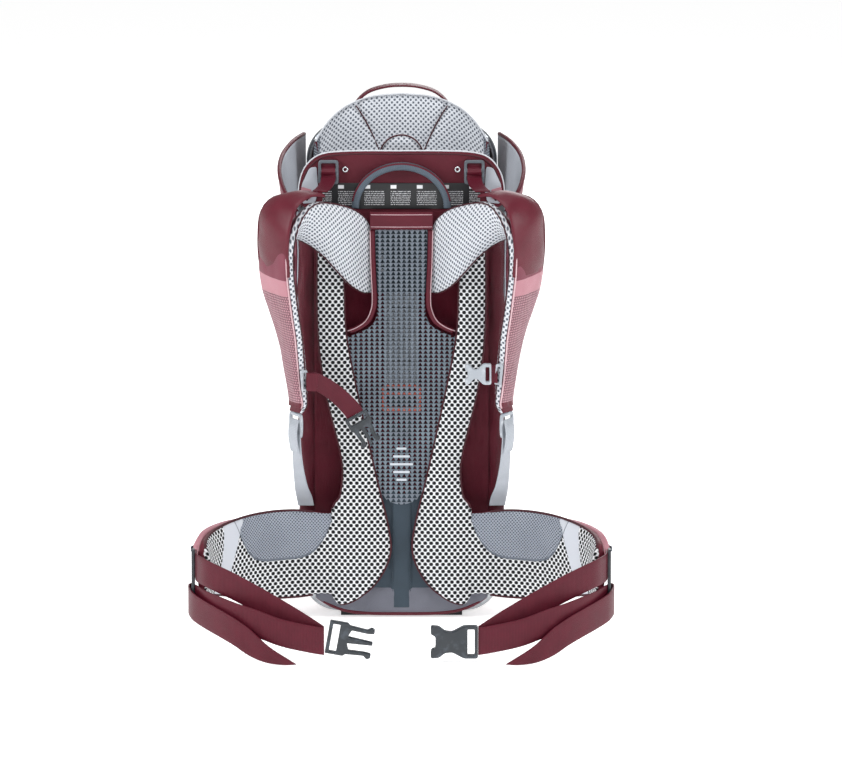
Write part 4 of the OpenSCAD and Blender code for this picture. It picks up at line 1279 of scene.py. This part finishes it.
def sling(u, v):
    p = at(sling_line, v)
    cup = 5 * (2 * u - 1) ** 2 * math.sin(math.pi * v)
    return P(92 * (u - 0.5), p.y, p.z + cup)


seat = thicken(laid("seat_sling", 24, 100, sling, [slate_cloth], "seat", ["seat_sling"]), 0.003)
for u, word in enumerate(("left", "right")):
    cord("seat_binding_" + word, [sling(u, k / 20) * 1000 - Vector((0, frame_plane, 0))
                                  for k in range(21)], 1.8, maroon_tape, "seat", k=2)

for side, word in sides:
    run = through(on_side(side, ((52, 252.2, 496), (50, 247, 480), (38, 236, 450),
                                 (26, 228, 426), (21, 222.5, 413.5))), 12)
    def child_pad(u, v, run=run):
        _, point, way = pointing(run, v)
        out = Vector((1, 0, 0)).cross(way)
        s, f = around(u, 3)
        return P(*(point + Vector((17 * s, 0, 0)) + out * f * 3.4))
    child = laid("child_strap_" + word, 32, 48, child_pad, [small_mesh, maroon_sewn], None,
                 ["child_straps"], closed=True, ends=True,
                 zone=lambda u, v: 1 if u < 0.06 or 0.44 < u < 0.56 or u > 0.94 else 0)
    P(side * 52, 250, 492)
    P(side * 22, 224, 418)
    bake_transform(child)
tape("crotch_tape", [(0, 222, 380.6), (0, 220, 350), (0, 212, 324), (0, 206, 303)], [(1, 0, 0)] * 4,
     26, dark_tape, "seat", ["crotch_strap"], t=3.0)

# Base bag: a zipped luggage compartment of maroon satin that sags a little
# between the frame and the kickstand.

bag_line = rounded([(14, 30), (255, 52), (255, 186), (14, 186)], 16, 6)
bag_middle = Vector((134, 114))


def bag(u, v):
    w = 2 * v - 1
    f = u * len(bag_line)
    i = int(f) % len(bag_line)
    a, b = Vector(bag_line[i]), Vector(bag_line[(i + 1) % len(bag_line)])
    p = a.lerp(b, f - int(f)) if u < 1 else Vector(bag_line[0])
    mid = bag_middle
    end = (1 - abs(w) ** 10) ** 0.25
    p = mid + (p - mid) * (0.9 + 0.1 * end)
    fold = 2.6 * noise.noise(Vector((w * 3, p.x * 0.02, p.y * 0.025)))
    n = (p - mid).normalized()
    p = p + n * (fold * end - 1.5)
    return P(115 * w, p.x, p.y)


body_bag = laid("base_bag", 96, 90, bag, [satin], "frame", ["base_bag"], closed=True, ends=True)
for side, word in sides:
    seam = [bag_middle.lerp(Vector(p), 0.975) for p in bag_line[::2] + bag_line[:1]]
    cord("bag_piping_" + word, [(side * 113.5, p.x, p.y) for p in seam], 2.0, piping_pink,
         "frame", k=3)
tape("bag_zip_tape", [(x, 255.4, 130) for x in range(-104, 105, 26)], [(0, 0, 1)] * 9, 16,
     dark_tape, "frame", t=1.6, k=3)
teeth = bmesh.new()
for k in range(70):
    made = bmesh.ops.create_cube(teeth, size=1)["verts"]
    bmesh.ops.scale(teeth, vec=(0.0018, 0.0012, 0.004), verts=made)
    bmesh.ops.bevel(teeth, geom=list({e for v in made for e in v.link_edges}), offset=0.0003,
                    segments=1, profile=0.5, affect="EDGES", material=-1)
    teeth.verts.ensure_lookup_table()
    bmesh.ops.translate(teeth, vec=P(-103 + 3 * k, 256.6, 130), verts=teeth.verts[-24:])
finish("bag_zip_teeth", teeth, [steel_finish], "frame", smooth=False)

# Stirrups and the top handle: foot loops hung outside the cockpit on tapes
# with a height buckle, and a maroon tape handle over the hoop's top bar.

for side, word in sides:
    tape("stirrup_tape_" + word, [(side * 140.4, 70, 396.2), (side * 140.4, 70, 330),
                                  (side * 140.4, 70, 262)], [(0, 1, 0)] * 3, 20, dark_tape,
         "stirrup_loop_" + word, ["stirrup_" + word], t=2.6)
    def upright(co, side=side):
        return P(side * (140.4 + co.z), 70 + co.x, co.y)
    loop = [(x, 232 + y) for x, y in rounded([(-38, -31), (38, -31), (31, 31), (-31, 31)], 14, 8)]
    hole = [(x, 232 + y) for x, y in rounded([(-29, -22), (29, -22), (23, 20), (-23, 20)], 9, 8)]
    flat("stirrup_loop_" + word, [loop, hole], 6.6, 2.2, upright, rubber, "stirrup_loop_" + word)
    case = [(x, 290 + y) for x, y in oblong(-14, -12, 14, 12, 3)]
    slot_a = [(x, 290 + y) for x, y in oblong(-10.5, 2, 10.5, 8, 1.4)]
    flat("stirrup_buckle_" + word, [case, slot_a], 6.4, 1.6, upright, dark_plastic,
         "stirrup_loop_" + word)

hoop_handle = through([(-69, 272, 648), (-65, 272, 668), (-48, 272, 685), (-24, 272, 693),
                       (0, 272, 695), (24, 272, 693), (48, 272, 685), (65, 272, 668),
                       (69, 272, 648)], 4)


def carry(u, v):
    _, point, way = pointing(hoop_handle, v)
    out = way.cross(Vector((0, 1, 0)))
    s, f = around(u, 3)
    return P(*(point + Vector((0, 11 * s, 0)) - out * f * 1.9))


laid("top_handle", 28, 32, carry, [maroon_tape], "rear_handle", ["top_handle"], closed=True,
     ends=True)
